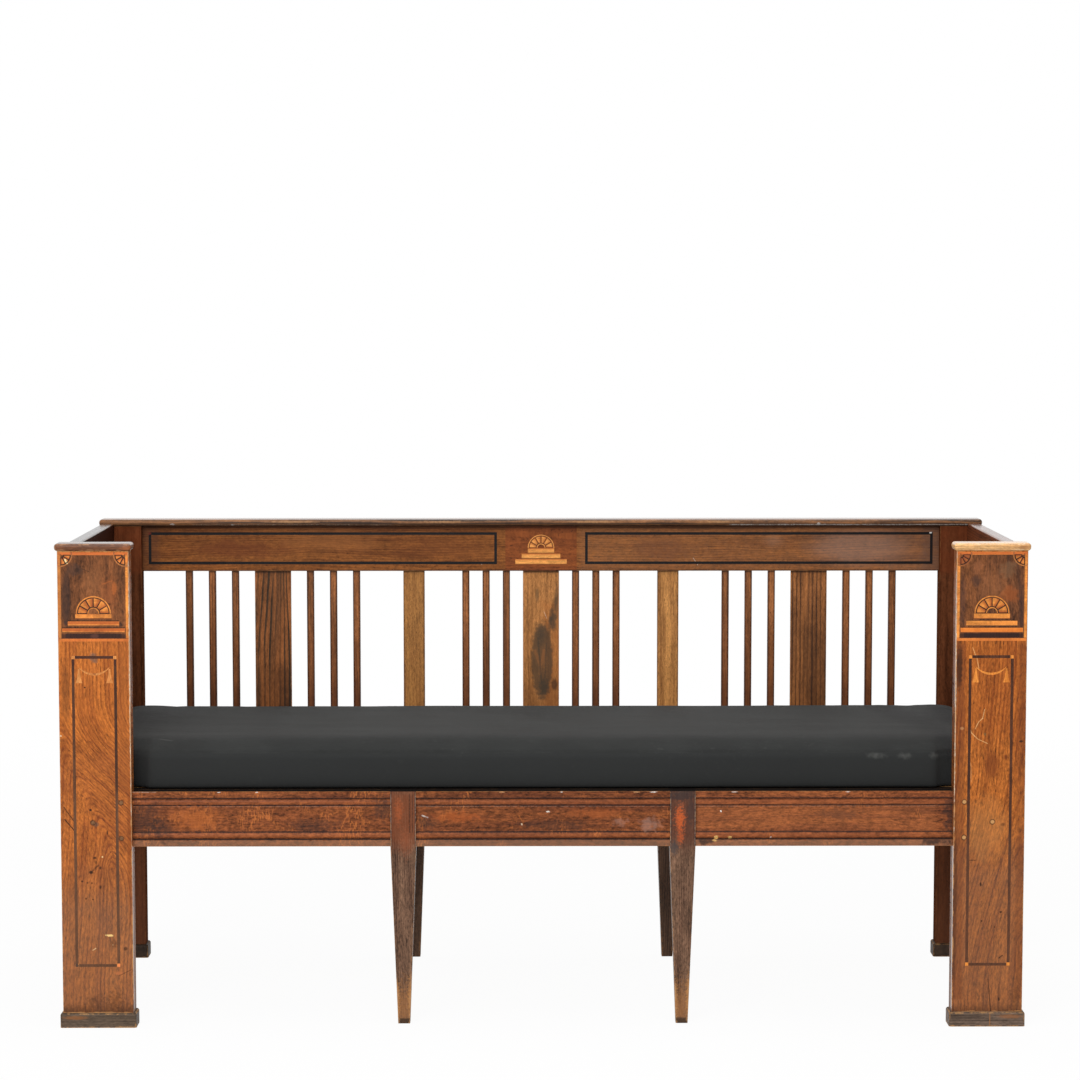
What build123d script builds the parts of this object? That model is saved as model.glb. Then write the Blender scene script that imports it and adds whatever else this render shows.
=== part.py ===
from build123d import *
import math
import os

# A long box settle of oak with marquetry, an open spindle back and sides, and a loose seat cushion.
# Millimetres. X runs along the settle, Y from its front to its back, Z up.
# The origin is on the floor, under the middle of the settle.

# Driving sizes of the frame
SPAN_OVER_POSTS = 1766.0
FRONT_TO_BACK = 563.0          # front post's face to rear post's face
POST_THICK = 36.0
HEIGHT = 894.0

# Front posts, with their caps and shoes
FRONT_POST_WIDE = 130.0
CAP_THICK = 14.0
CAP_OVERHANG = 5.0
CAP_ROUND = 6.0
FOOT_HIGH = 27.0
FOOT_OVERHANG = 5.0
FOOT_ROUND = 4.5
POST_EASE = 1.5

# Rear posts and the back's rails
REAR_POST_WIDE = 79.0
FRIEZE_HIGH = 92.0
FRIEZE_THICK = 18.0
REAR_RAIL_TOP = 452.0
REAR_RAIL_HIGH = 115.0
REAR_RAIL_THICK = 20.0

# Front apron, in three lengths between the posts and the middle legs
APRON_TOP = 436.0
APRON_HIGH = 102.0
APRON_THICK = 24.0
APRON_SET_BACK = 14.0
APRON_FILLET = 13.0
APRON_BEAD = 13.0
APRON_STEP = 3.5
APRON_BEAD_LOW = 0.8           # how far the bead's crest stays behind the fillet's face
APRON_QUIRK = 1.6

# Middle legs
MID_LEG_SQUARE = 47.0
MID_LEG_TOE = 22.0
MID_LEG_PROUD = 2.0            # in front of the apron's face
MID_LEG_EASE = 1.5
MID_LEG_TOE_EASE = 1.2

# Arms and side rails
ARM_THICK = 25.0
ARM_ABOVE_POST = 6.0
ARM_ROUND = 4.0
SIDE_RAIL_THICK = 25.0

# Seat under the cushion
SEAT_BOARD_THICK = 12.0
SEAT_BOARD_COUNT = 4
SEAT_BOARD_GAP = 3.0
SIDE_BEARER_WIDE = 50.0
SIDE_BEARER_HIGH = 68.0
CROSS_BEARER_THICK = 24.0
CROSS_BEARER_HIGH = 80.0

# Spindles and slats
SPINDLE_WIDE = 14.5
SPINDLE_THICK = 10.0
SPINDLE_EASE = 1.2
SLAT_THICK = 8.0
WIDE_SLAT = 73.0
NARROW_SLAT = 43.0
SPINDLE_HOUSED = 10.0          # how far a spindle or slat goes into its rail
BAY_SPINDLE_COUNT = 3

# Where their middles are, as shares of half the opening between the rear posts, or along a side
# of half the opening between its two posts. The middle legs stand under the narrow slats.
NARROW_SLAT_SHARE = 0.3195
WIDE_SLAT_SHARE = 0.6741
INNER_SPINDLE_SHARE = 0.0871
INNER_PITCH_SHARE = 0.0510
OUTER_SPINDLE_SHARE = 0.0942   # from the wide slat to the nearest spindle
OUTER_PITCH_SHARE = 0.0580
SIDE_SPINDLE_SHARE = 0.3416
SIDE_PITCH_SHARE = 0.1768

# Tenons and pegs
TENON_LONG = 30.0
TENON_THICK = 12.0
TENON_SHOULDER = 16.0          # above and below the tenon
THIN_TENON_THICK = 9.0
MID_TENON_LONG = 16.0
STUB_TENON_LONG = 18.0
PEG_DIAMETER = 8.0
PEG_FROM_EDGE = 19.0           # peg's middle to the post's inner edge
PEG_FROM_TENON = 18.0          # peg's middle below or above the rail's edge
PLUG_FROM_EDGE = 59.0          # plug's middle to the post's outer edge
PLUG_BELOW_APRON = 55.0
PLUG_INTO_BEARER = 30.0
PEG_BLIND = 3.0                # wood left behind a peg

# Inlay: one thickness of veneer, let in flush
VENEER = 1.5
PANEL_BELOW_CAP = 2.0
PANEL_FROM_EDGE = 1.5
PANEL_HIGH = 163.0
PANEL_BORDER = 5.2
BURST_BASE = 51.0              # above the panel's lower edge
BURST_RADIUS = 31.8
BURST_RING = 2.4
BURST_WEDGE_IN = 12.4
BURST_WEDGE_OUT = 28.0
BURST_HUB_OUT = 11.3
BURST_HUB_IN = 9.0
BURST_WEDGE_COUNT = 6
CORNER_FAN_RADIUS = 21.0
CORNER_FAN_RING = 2.2
CORNER_WEDGE_IN = 6.5
CORNER_WEDGE_OUT = 16.8
CORNER_WEDGE_COUNT = 3
WEDGE_GAP = 2.0                # dark line between two wedges, at their outer ends
# Steps of the plinth under the burst, from the top one down: widths as shares of the dark field's,
# then the lower edge and the height of each in millimetres
POST_STEP_SHARES = (0.5635, 0.7993, 0.9777)
POST_STEP_LOWS = (40.4, 27.6, 15.2)
POST_STEP_HIGHS = (9.6, 9.2, 8.8)
BAND_SHARE = 0.875
BAND_HIGH = 8.0
BAND_ABOVE_BORDER = 0.9
STRING_WIDE = 5.2
STRING_FROM_EDGE = 24.0
STRING_BELOW_PANEL = 26.5
STRING_ABOVE_FOOT = 86.0
CORNER_DOT = 6.0
SWAG_BELOW_PANEL = 47.0
SWAG_SAG_TOP = 11.5
SWAG_SAG_BOTTOM = 15.6
SWAG_END_THICK = 1.0
BELL_HIGH = 26.0
BELL_NECK = 3.0
BELL_MOUTH = 12.5
BELL_BELOW_SWAG = 2.5
BELL_FROM_STRING = 1.6
BELL_WAIST_SHARE = 0.45        # of the mouth, at the bell's middle height

# Plaque and stringing on the frieze rail
PLAQUE_WIDE = 144.0
PLAQUE_BURST_BASE = 46.6
PLAQUE_BURST_RADIUS = 26.7
PLAQUE_BURST_RING = 2.2
PLAQUE_WEDGE_IN = 10.2
PLAQUE_WEDGE_OUT = 23.4
PLAQUE_HUB_OUT = 9.2
PLAQUE_HUB_IN = 7.2
PLAQUE_STEP_SHARES = (0.369, 0.542, 0.722)
PLAQUE_STEP_LOWS = (36.0, 25.0, 13.4)
PLAQUE_STEP_HIGHS = (9.4, 9.8, 10.2)
FRIEZE_STRING_WIDE = 5.4
FRIEZE_STRING_INSET = 13.6     # from the rail's upper and lower edges
FRIEZE_STRING_FROM_POST = 12.5
FRIEZE_STRING_FROM_PLAQUE = 17.0

# Loose cushion, boxed, slightly crowned, its long sides drawn in a little
CUSHION_END_GAP = 15.5         # to the spindles of the sides
CUSHION_FACE_GAP = 4.5         # to the overhanging caps, so that it lifts out past them
CUSHION_SIDE_HIGH = 76.0
CUSHION_CROWN = 9.0
CUSHION_SHOULDER = 9.0         # rounding of its long edges
CUSHION_CLEAR = 0.3
# Along the cushion: where each section is, and its depth and height there, as shares of the whole
CUSHION_SHARES = (
    (-1.0, 0.970, 0.86),
    (-0.985, 0.994, 0.96),
    (-0.93, 1.0, 1.0),
    (-0.45, 0.995, 1.0),
    (0.0, 0.992, 1.0),
    (0.45, 0.995, 1.0),
    (0.93, 1.0, 1.0),
    (0.985, 0.994, 0.96),
    (1.0, 0.970, 0.86),
)

# Places that follow from the sizes above
POST_OUT = SPAN_OVER_POSTS / 2
POST_IN = POST_OUT - FRONT_POST_WIDE
POST_MID = POST_OUT - FRONT_POST_WIDE / 2
REAR_IN = POST_OUT - REAR_POST_WIDE
FRONT_Y = -(FRONT_TO_BACK + POST_THICK) / 2
FRONT_BACK_Y = FRONT_Y + POST_THICK
REAR_Y = FRONT_Y + FRONT_TO_BACK
REAR_BACK_Y = REAR_Y + POST_THICK
POST_TOP = HEIGHT - CAP_THICK
APRON_Y = FRONT_Y + APRON_SET_BACK
APRON_BACK_Y = APRON_Y + APRON_THICK
APRON_LOW = APRON_TOP - APRON_HIGH
FRIEZE_LOW = POST_TOP - FRIEZE_HIGH
FRIEZE_Y = REAR_BACK_Y - FRIEZE_THICK
REAR_RAIL_Y = REAR_BACK_Y - REAR_RAIL_THICK
REAR_RAIL_LOW = REAR_RAIL_TOP - REAR_RAIL_HIGH
ARM_X = POST_OUT - ARM_THICK
SIDE_RAIL_X = POST_OUT - SIDE_RAIL_THICK
LEG_FRONT_Y = APRON_Y - MID_LEG_PROUD
MID_LEG_AT = NARROW_SLAT_SHARE * REAR_IN
WIDE_SLAT_AT = WIDE_SLAT_SHARE * REAR_IN
SIDE_HALF = (REAR_Y - FRONT_BACK_Y) / 2
SIDE_MIDDLE_X = POST_OUT - ARM_THICK / 2
CUSHION_LONG = 2 * (SIDE_MIDDLE_X - SPINDLE_THICK / 2 - CUSHION_END_GAP)
CUSHION_DEEP = 2 * (SIDE_HALF - CAP_OVERHANG - CUSHION_FACE_GAP)
LEG_IN = MID_LEG_AT - MID_LEG_SQUARE / 2
LEG_OUT = MID_LEG_AT + MID_LEG_SQUARE / 2
REAR_LEG_Y = REAR_BACK_Y - MID_LEG_SQUARE
SEAT_UNDER = APRON_TOP - SEAT_BOARD_THICK
PANEL_TOP = POST_TOP - PANEL_BELOW_CAP
PANEL_LOW = PANEL_TOP - PANEL_HIGH
PANEL_HALF = FRONT_POST_WIDE / 2 - PANEL_FROM_EDGE
STRING_HALF = FRONT_POST_WIDE / 2 - STRING_FROM_EDGE
STRING_TOP = PANEL_LOW - STRING_BELOW_PANEL
STRING_LOW = FOOT_HIGH + STRING_ABOVE_FOOT
SWAG_HALF = STRING_HALF - STRING_WIDE - BELL_FROM_STRING - BELL_MOUTH / 2

os.makedirs("parts", exist_ok=True)


def save(shape, name):
    shape.label = name
    export_step(shape, f"parts/{name}.step")


def save_pair(shape, name):
    """Writes the right-hand piece and its mirror image on the left."""
    save(shape, f"{name}_right")
    save(mirror(shape, about=Plane.YZ), f"{name}_left")


def block(x0, x1, y0, y1, z0, z1):
    return Pos(x0, y0, z0) * Box(x1 - x0, y1 - y0, z1 - z0, align=(Align.MIN, Align.MIN, Align.MIN))


def group(solids):
    return Compound(children=[s for shape in solids for s in shape.solids()])


def rounded(shape, radius, axis=None):
    edges = shape.edges() if axis is None else shape.edges().filter_by(axis)
    return fillet(edges, radius)


# Flat shapes of the inlay are drawn in X and Z, then let into a face that looks along -Y
def rect(x0, x1, z0, z1):
    return Pos(x0, z0) * Rectangle(x1 - x0, z1 - z0, align=(Align.MIN, Align.MIN))


def let_in(flat, face_y):
    return Pos(0, face_y + VENEER, 0) * Rot(90, 0, 0) * extrude(flat, VENEER)


def ring_piece(at, r_in, r_out, start, end, gap=0.0):
    """A piece of a ring between two angles, in degrees, narrowed by half a gap on each side."""
    def point(radius, angle):
        return (at[0] + radius * math.cos(angle), at[1] + radius * math.sin(angle))

    trim = gap / 2 / r_out
    a0, a1 = math.radians(start) + trim, math.radians(end) - trim
    middle = (a0 + a1) / 2
    return make_face([
        Line(point(r_in, a0), point(r_out, a0)),
        ThreePointArc(point(r_out, a0), point(r_out, middle), point(r_out, a1)),
        Line(point(r_out, a1), point(r_in, a1)),
        ThreePointArc(point(r_in, a1), point(r_in, middle), point(r_in, a0)),
    ])


def wedges(at, r_in, r_out, start, end, count):
    step = (end - start) / count
    return [ring_piece(at, r_in, r_out, start + i * step, start + (i + 1) * step, WEDGE_GAP)
            for i in range(count)]


def frame_strips(x0, x1, z0, z1, wide):
    """Four strips round a rectangle, the upright ones standing between the level ones."""
    return [rect(x0, x1, z1 - wide, z1), rect(x0, x1, z0, z0 + wide),
            rect(x0, x0 + wide, z0 + wide, z1 - wide), rect(x1 - wide, x1, z0 + wide, z1 - wide)]


def half_burst(at, radius, ring, wedge_in, wedge_out, hub_out, hub_in):
    return ([ring_piece(at, radius - ring, radius, 0, 180)]
            + wedges(at, wedge_in, wedge_out, 0, 180, BURST_WEDGE_COUNT)
            + [ring_piece(at, hub_in, hub_out, 0, 180)])


def steps(middle, low, field_wide, shares, lows, highs):
    halves = [share * field_wide / 2 for share in shares]
    return [rect(middle - half, middle + half, low + up, low + up + high)
            for half, up, high in zip(halves, lows, highs)]


# Spindles and slats, upright, as one shape each
def upright(wide, thick, z0, z1, along_y=False):
    size = (thick, wide) if along_y else (wide, thick)
    bar = Pos(0, 0, z0) * Box(size[0], size[1], z1 - z0, align=(Align.CENTER, Align.CENTER, Align.MIN))
    return rounded(bar, SPINDLE_EASE, Axis.Z)


def bay(start, first, pitch):
    return [start + first + i * pitch for i in range(BAY_SPINDLE_COUNT)]


first_outer = OUTER_SPINDLE_SHARE * REAR_IN
outer_pitch = OUTER_PITCH_SHARE * REAR_IN
BACK_BAYS = {
    "inner": bay(0, INNER_SPINDLE_SHARE * REAR_IN, INNER_PITCH_SHARE * REAR_IN),
    "middle": bay(WIDE_SLAT_AT, -first_outer, -outer_pitch),
    "outer": bay(WIDE_SLAT_AT, first_outer, outer_pitch),
}
SIDE_BAY = bay(0, SIDE_SPINDLE_SHARE * SIDE_HALF, SIDE_PITCH_SHARE * SIDE_HALF)
BACK_LOW = REAR_RAIL_TOP - SPINDLE_HOUSED
BACK_HIGH = FRIEZE_LOW + SPINDLE_HOUSED
SIDE_LOW = APRON_TOP - SPINDLE_HOUSED
BACK_MIDDLE_Y = FRIEZE_Y + FRIEZE_THICK / 2

back_spindle = upright(SPINDLE_WIDE, SPINDLE_THICK, BACK_LOW, BACK_HIGH)
wide_slat = upright(WIDE_SLAT, SLAT_THICK, BACK_LOW, BACK_HIGH)
narrow_slat = upright(NARROW_SLAT, SLAT_THICK, BACK_LOW, BACK_HIGH)
side_spindle = upright(SPINDLE_WIDE, SPINDLE_THICK, SIDE_LOW, BACK_HIGH, along_y=True)
side_slat = upright(WIDE_SLAT, SLAT_THICK, SIDE_LOW, BACK_HIGH, along_y=True)

back_uprights = []
for name, places in BACK_BAYS.items():
    right = [Pos(x, BACK_MIDDLE_Y, 0) * back_spindle for x in places]
    left = [Pos(-x, BACK_MIDDLE_Y, 0) * back_spindle for x in places]
    save(group(right), f"back_spindles_{name}_right")
    save(group(left), f"back_spindles_{name}_left")
    back_uprights += right + left
for name, slat, x in (("wide_slat_center", wide_slat, 0), ("wide_slat_right", wide_slat, WIDE_SLAT_AT),
                      ("wide_slat_left", wide_slat, -WIDE_SLAT_AT),
                      ("narrow_slat_right", narrow_slat, MID_LEG_AT),
                      ("narrow_slat_left", narrow_slat, -MID_LEG_AT)):
    piece = Pos(x, BACK_MIDDLE_Y, 0) * slat
    save(piece, f"back_{name}")
    back_uprights.append(piece)

side_spindles = [Pos(SIDE_MIDDLE_X, sign * y, 0) * side_spindle for y in SIDE_BAY for sign in (-1, 1)]
side_slat = Pos(SIDE_MIDDLE_X, 0, 0) * side_slat
save_pair(group(side_spindles), "side_spindles")
save_pair(side_slat, "side_wide_slat")
side_uprights = side_spindles + [side_slat]


# Tenons, all drawn for the right-hand side
def tenon_heights(low, top):
    return low + TENON_SHOULDER, top - TENON_SHOULDER


apron_z = tenon_heights(APRON_LOW, APRON_TOP)
apron_tenon_y = (APRON_BACK_Y - TENON_THICK, APRON_BACK_Y)
apron_post_tenon = block(POST_IN, POST_IN + TENON_LONG, *apron_tenon_y, *apron_z)
apron_leg_out_tenon = block(LEG_OUT - MID_TENON_LONG, LEG_OUT, *apron_tenon_y, *apron_z)
apron_leg_in_tenon = block(LEG_IN, LEG_IN + MID_TENON_LONG, *apron_tenon_y, *apron_z)
frieze_tenon_y = (BACK_MIDDLE_Y - THIN_TENON_THICK / 2, BACK_MIDDLE_Y + THIN_TENON_THICK / 2)
frieze_tenon = block(REAR_IN, REAR_IN + TENON_LONG, *frieze_tenon_y, *tenon_heights(FRIEZE_LOW, POST_TOP))
rear_rail_tenon = block(REAR_IN, REAR_IN + TENON_LONG, *frieze_tenon_y,
                        *tenon_heights(REAR_RAIL_LOW, REAR_RAIL_TOP))


def side_tenons(x_middle, z0, z1):
    x0, x1 = x_middle - TENON_THICK / 2, x_middle + TENON_THICK / 2
    return [block(x0, x1, FRONT_BACK_Y - STUB_TENON_LONG, FRONT_BACK_Y, z0, z1),
            block(x0, x1, REAR_Y, REAR_Y + STUB_TENON_LONG, z0, z1)]


arm_tenons = side_tenons(SIDE_MIDDLE_X, *tenon_heights(FRIEZE_LOW, POST_TOP))
side_rail_tenons = side_tenons(SIDE_RAIL_X + SIDE_RAIL_THICK / 2, *apron_z)


# Pegs through the front post's face, and the plug that holds the seat bearer
def peg(x, z, y0, y1):
    return Pos(x, y0, z) * Rot(-90, 0, 0) * Cylinder(
        PEG_DIAMETER / 2, y1 - y0, align=(Align.CENTER, Align.CENTER, Align.MIN))


peg_x = POST_IN + PEG_FROM_EDGE
pegs = [peg(peg_x, z, FRONT_Y, FRONT_BACK_Y - PEG_BLIND)
        for z in (APRON_TOP - PEG_FROM_TENON, APRON_LOW + PEG_FROM_TENON)]
plug = peg(POST_OUT - PLUG_FROM_EDGE, APRON_TOP - PLUG_BELOW_APRON, FRONT_Y,
           FRONT_BACK_Y + PLUG_INTO_BEARER)
right_pegs = pegs + [plug]
save(group(right_pegs + [mirror(p, about=Plane.YZ) for p in right_pegs]), "frame_pegs")

# Marquetry of a front post, drawn for the right-hand one
panel_in = PANEL_HALF - PANEL_BORDER
field_low = PANEL_LOW + PANEL_BORDER
field_top = PANEL_TOP - PANEL_BORDER
border = frame_strips(POST_MID - PANEL_HALF, POST_MID + PANEL_HALF, PANEL_LOW, PANEL_TOP, PANEL_BORDER)
burst = half_burst((POST_MID, PANEL_LOW + BURST_BASE), BURST_RADIUS, BURST_RING, BURST_WEDGE_IN,
                   BURST_WEDGE_OUT, BURST_HUB_OUT, BURST_HUB_IN)
plinth = steps(POST_MID, PANEL_LOW, 2 * panel_in, POST_STEP_SHARES, POST_STEP_LOWS, POST_STEP_HIGHS)
corner_fans = []
for side, start in ((1, 180), (-1, 270)):
    corner = (POST_MID + side * panel_in, field_top)
    corner_fans.append(ring_piece(corner, CORNER_FAN_RADIUS - CORNER_FAN_RING, CORNER_FAN_RADIUS,
                                  start, start + 90))
    corner_fans += wedges(corner, CORNER_WEDGE_IN, CORNER_WEDGE_OUT, start, start + 90, CORNER_WEDGE_COUNT)
band_low = field_low + BAND_ABOVE_BORDER
band_half = BAND_SHARE * panel_in
band = rect(POST_MID - band_half, POST_MID + band_half, band_low, band_low + BAND_HIGH)
field = rect(POST_MID - panel_in, POST_MID + panel_in, field_low, field_top)
for light in burst + plinth + corner_fans + [band]:
    field = field - light

# Dark stringing lower down, with a light square at each corner
s0, s1 = POST_MID - STRING_HALF, POST_MID + STRING_HALF
d0 = CORNER_DOT
dots = [rect(x, x + d0, z, z + d0) for x in (s0, s1 - d0) for z in (STRING_LOW, STRING_TOP - d0)]
strings = [rect(x, x + STRING_WIDE, STRING_LOW + d0, STRING_TOP - d0) for x in (s0, s1 - STRING_WIDE)]
strings += [rect(s0 + d0, s1 - d0, z, z + STRING_WIDE) for z in (STRING_LOW, STRING_TOP - STRING_WIDE)]

# Swag with a bell hanging from each end
swag_z = PANEL_LOW - SWAG_BELOW_PANEL
w0, w1 = POST_MID - SWAG_HALF, POST_MID + SWAG_HALF
swag = [make_face([
    ThreePointArc((w0, swag_z), (POST_MID, swag_z - SWAG_SAG_TOP), (w1, swag_z)),
    Line((w1, swag_z), (w1, swag_z - SWAG_END_THICK)),
    ThreePointArc((w1, swag_z - SWAG_END_THICK), (POST_MID, swag_z - SWAG_SAG_BOTTOM),
                  (w0, swag_z - SWAG_END_THICK)),
    Line((w0, swag_z - SWAG_END_THICK), (w0, swag_z)),
])]
bell_top = swag_z - SWAG_END_THICK - BELL_BELOW_SWAG
bell_low = bell_top - BELL_HIGH
bell_middle = bell_top - BELL_HIGH / 2
bell_waist = BELL_MOUTH * BELL_WAIST_SHARE / 2
for x in (w0, w1):
    swag.append(make_face([
        Line((x - BELL_NECK / 2, bell_top), (x + BELL_NECK / 2, bell_top)),
        ThreePointArc((x + BELL_NECK / 2, bell_top), (x + bell_waist, bell_middle),
                      (x + BELL_MOUTH / 2, bell_low)),
        Line((x + BELL_MOUTH / 2, bell_low), (x - BELL_MOUTH / 2, bell_low)),
        ThreePointArc((x - BELL_MOUTH / 2, bell_low), (x - bell_waist, bell_middle),
                      (x - BELL_NECK / 2, bell_top)),
    ]))


def inlay(flats, face_y):
    return [let_in(flat, face_y) for flat in flats]


panel_light = inlay(border + burst + plinth + corner_fans, FRONT_Y)
ebony = inlay(strings + [band], FRONT_Y)
swag_light = inlay(swag + dots, FRONT_Y)
save_pair(let_in(field, FRONT_Y), "post_panel_veneer")
save_pair(group(panel_light), "post_panel_satinwood")
save_pair(group(ebony), "post_ebony_stringing")
save_pair(group(swag_light), "post_swag_inlay")

# Front post with everything that is let into it
post = rounded(block(POST_IN, POST_OUT, FRONT_Y, FRONT_BACK_Y, FOOT_HIGH, POST_TOP), POST_EASE, Axis.Z)
post -= let_in(rect(POST_MID - PANEL_HALF, POST_MID + PANEL_HALF, PANEL_LOW, PANEL_TOP), FRONT_Y)
for piece in inlay(strings, FRONT_Y) + swag_light + right_pegs:
    post -= piece
for piece in [apron_post_tenon, arm_tenons[0], side_rail_tenons[0]]:
    post -= piece
save_pair(post, "front_post")


def shoe(x0, x1, y0, y1):
    out = FOOT_OVERHANG
    body = block(x0 - out, x1 + out, y0 - out, y1 + out, 0, FOOT_HIGH)
    body = fillet(body.edges().filter_by(Axis.Z), FOOT_ROUND)
    return fillet(body.edges().group_by(Axis.Z)[-1], FOOT_ROUND)


def cap(x0, x1, y0, y1):
    out = CAP_OVERHANG
    return rounded(block(x0 - out, x1 + out, y0 - out, y1 + out, POST_TOP, HEIGHT), CAP_ROUND)


save_pair(shoe(POST_IN, POST_OUT, FRONT_Y, FRONT_BACK_Y), "front_foot")
save_pair(shoe(REAR_IN, POST_OUT, REAR_Y, REAR_BACK_Y), "rear_foot")
save_pair(cap(POST_IN, POST_OUT, FRONT_Y, FRONT_BACK_Y), "front_cap")
save(cap(-POST_OUT, POST_OUT, REAR_Y, REAR_BACK_Y), "back_cap_rail")

rear_post = rounded(block(REAR_IN, POST_OUT, REAR_Y, REAR_BACK_Y, FOOT_HIGH, POST_TOP), POST_EASE, Axis.Z)
for piece in [frieze_tenon, rear_rail_tenon, arm_tenons[1], side_rail_tenons[1]]:
    rear_post -= piece
save_pair(rear_post, "rear_post")

# Plaque and stringing of the frieze rail
burst_at = (0, FRIEZE_LOW + PLAQUE_BURST_BASE)
plaque_burst = half_burst(burst_at, PLAQUE_BURST_RADIUS, PLAQUE_BURST_RING, PLAQUE_WEDGE_IN,
                          PLAQUE_WEDGE_OUT, PLAQUE_HUB_OUT, PLAQUE_HUB_IN)
plaque_light = plaque_burst + steps(0, FRIEZE_LOW, PLAQUE_WIDE, PLAQUE_STEP_SHARES, PLAQUE_STEP_LOWS,
                                    PLAQUE_STEP_HIGHS)
plaque_whole = rect(-PLAQUE_WIDE / 2, PLAQUE_WIDE / 2, FRIEZE_LOW, POST_TOP)
plaque = plaque_whole
for light in plaque_light:
    plaque = plaque - light
frieze_string_x = (PLAQUE_WIDE / 2 + FRIEZE_STRING_FROM_PLAQUE, REAR_IN - FRIEZE_STRING_FROM_POST)
frieze_strings = frame_strips(*frieze_string_x, FRIEZE_LOW + FRIEZE_STRING_INSET,
                              POST_TOP - FRIEZE_STRING_INSET, FRIEZE_STRING_WIDE)
frieze_ebony = inlay(frieze_strings, FRIEZE_Y)
frieze_ebony += [mirror(piece, about=Plane.YZ) for piece in frieze_ebony]
save(let_in(plaque, FRIEZE_Y), "back_plaque_veneer")
save(group(inlay(plaque_light, FRIEZE_Y)), "back_plaque_satinwood")
save(group(frieze_ebony), "frieze_ebony_stringing")


def both_sides(piece):
    return [piece, mirror(piece, about=Plane.YZ)]


frieze = block(-REAR_IN, REAR_IN, FRIEZE_Y, REAR_BACK_Y, FRIEZE_LOW, POST_TOP)
for piece in both_sides(frieze_tenon):
    frieze += piece
for piece in [let_in(plaque_whole, FRIEZE_Y)] + frieze_ebony + back_uprights:
    frieze -= piece
save(frieze, "back_frieze_rail")

rear_rail = block(-REAR_IN, REAR_IN, REAR_RAIL_Y, REAR_BACK_Y, REAR_RAIL_LOW, REAR_RAIL_TOP)
rear_rail_bar = rear_rail
for piece in both_sides(rear_rail_tenon):
    rear_rail += piece
for piece in back_uprights:
    rear_rail -= piece
save(rear_rail, "rear_seat_rail")

# Arms: boards on edge whose upper edge stands a little above the posts, between the caps
arm = block(ARM_X, POST_OUT, FRONT_BACK_Y, REAR_Y, FRIEZE_LOW, POST_TOP)
arm_edge = block(ARM_X, POST_OUT, FRONT_BACK_Y + CAP_OVERHANG, REAR_Y - CAP_OVERHANG,
                 POST_TOP, POST_TOP + ARM_ABOVE_POST)
arm_edge = fillet(arm_edge.edges().filter_by(Axis.Y).group_by(Axis.Z)[-1], ARM_ROUND)
arm += arm_edge
for piece in arm_tenons:
    arm += piece
for piece in side_uprights:
    arm -= piece
save_pair(arm, "arm_rail")

side_rail = block(SIDE_RAIL_X, POST_OUT, FRONT_BACK_Y, REAR_Y, APRON_LOW, APRON_TOP)
for piece in side_rail_tenons:
    side_rail += piece
for piece in side_uprights:
    side_rail -= piece
save_pair(side_rail, "side_seat_rail")


# Apron: a fillet, a bead, a flat and the same again below
def apron_length(x0, x1):
    step = APRON_Y + APRON_STEP
    crest = APRON_Y + APRON_BEAD_LOW
    z1 = APRON_LOW + APRON_FILLET
    z2 = z1 + APRON_QUIRK
    z3 = z1 + APRON_BEAD
    z4 = APRON_TOP - APRON_FILLET - APRON_BEAD
    z5 = APRON_TOP - APRON_FILLET - APRON_QUIRK
    z6 = APRON_TOP - APRON_FILLET
    outline = [
        Polyline((APRON_BACK_Y, APRON_LOW), (APRON_Y, APRON_LOW), (APRON_Y, z1), (step, z1), (step, z2)),
        ThreePointArc((step, z2), (crest, (z2 + z3) / 2), (step, z3)),
        Line((step, z3), (step, z4)),
        ThreePointArc((step, z4), (crest, (z4 + z5) / 2), (step, z5)),
        Polyline((step, z5), (step, z6), (APRON_Y, z6), (APRON_Y, APRON_TOP), (APRON_BACK_Y, APRON_TOP),
                 (APRON_BACK_Y, APRON_LOW)),
    ]
    section = make_face([edge for line in outline for edge in line.edges()])
    return Pos(x0, 0, 0) * extrude(Plane.YZ * section, x1 - x0)


apron_side = apron_length(LEG_OUT, POST_IN) + apron_post_tenon + apron_leg_out_tenon
for piece in pegs:
    apron_side -= piece
save_pair(apron_side, "apron")
apron_center = apron_length(-LEG_IN, LEG_IN)
for piece in both_sides(apron_leg_in_tenon):
    apron_center += piece
save(apron_center, "apron_center")


# Middle legs: square at the seat, tapered below it on all four sides
def middle_leg(y0):
    middle = y0 + MID_LEG_SQUARE / 2
    square = RectangleRounded(MID_LEG_SQUARE, MID_LEG_SQUARE, MID_LEG_EASE)
    toe = Pos(MID_LEG_AT, middle, 0) * RectangleRounded(MID_LEG_TOE, MID_LEG_TOE, MID_LEG_TOE_EASE)
    shoulder = Pos(MID_LEG_AT, middle, APRON_LOW) * square
    return loft([toe, shoulder], ruled=True) + extrude(shoulder, APRON_HIGH)


front_leg = middle_leg(LEG_FRONT_Y)
front_leg -= apron_leg_out_tenon
front_leg -= apron_leg_in_tenon
save_pair(front_leg, "front_middle_leg")
rear_leg = middle_leg(REAR_LEG_Y) - rear_rail_bar
save_pair(rear_leg, "rear_middle_leg")

# Bearers and boards that carry the cushion
side_bearer = block(SIDE_RAIL_X - SIDE_BEARER_WIDE, SIDE_RAIL_X, FRONT_BACK_Y, REAR_Y,
                    SEAT_UNDER - SIDE_BEARER_HIGH, SEAT_UNDER) - plug
save_pair(side_bearer, "seat_bearer")
cross_bearer = block(MID_LEG_AT - CROSS_BEARER_THICK / 2, MID_LEG_AT + CROSS_BEARER_THICK / 2,
                     LEG_FRONT_Y + MID_LEG_SQUARE, REAR_LEG_Y,
                     SEAT_UNDER - CROSS_BEARER_HIGH, SEAT_UNDER)
save_pair(cross_bearer, "cross_bearer")

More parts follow.
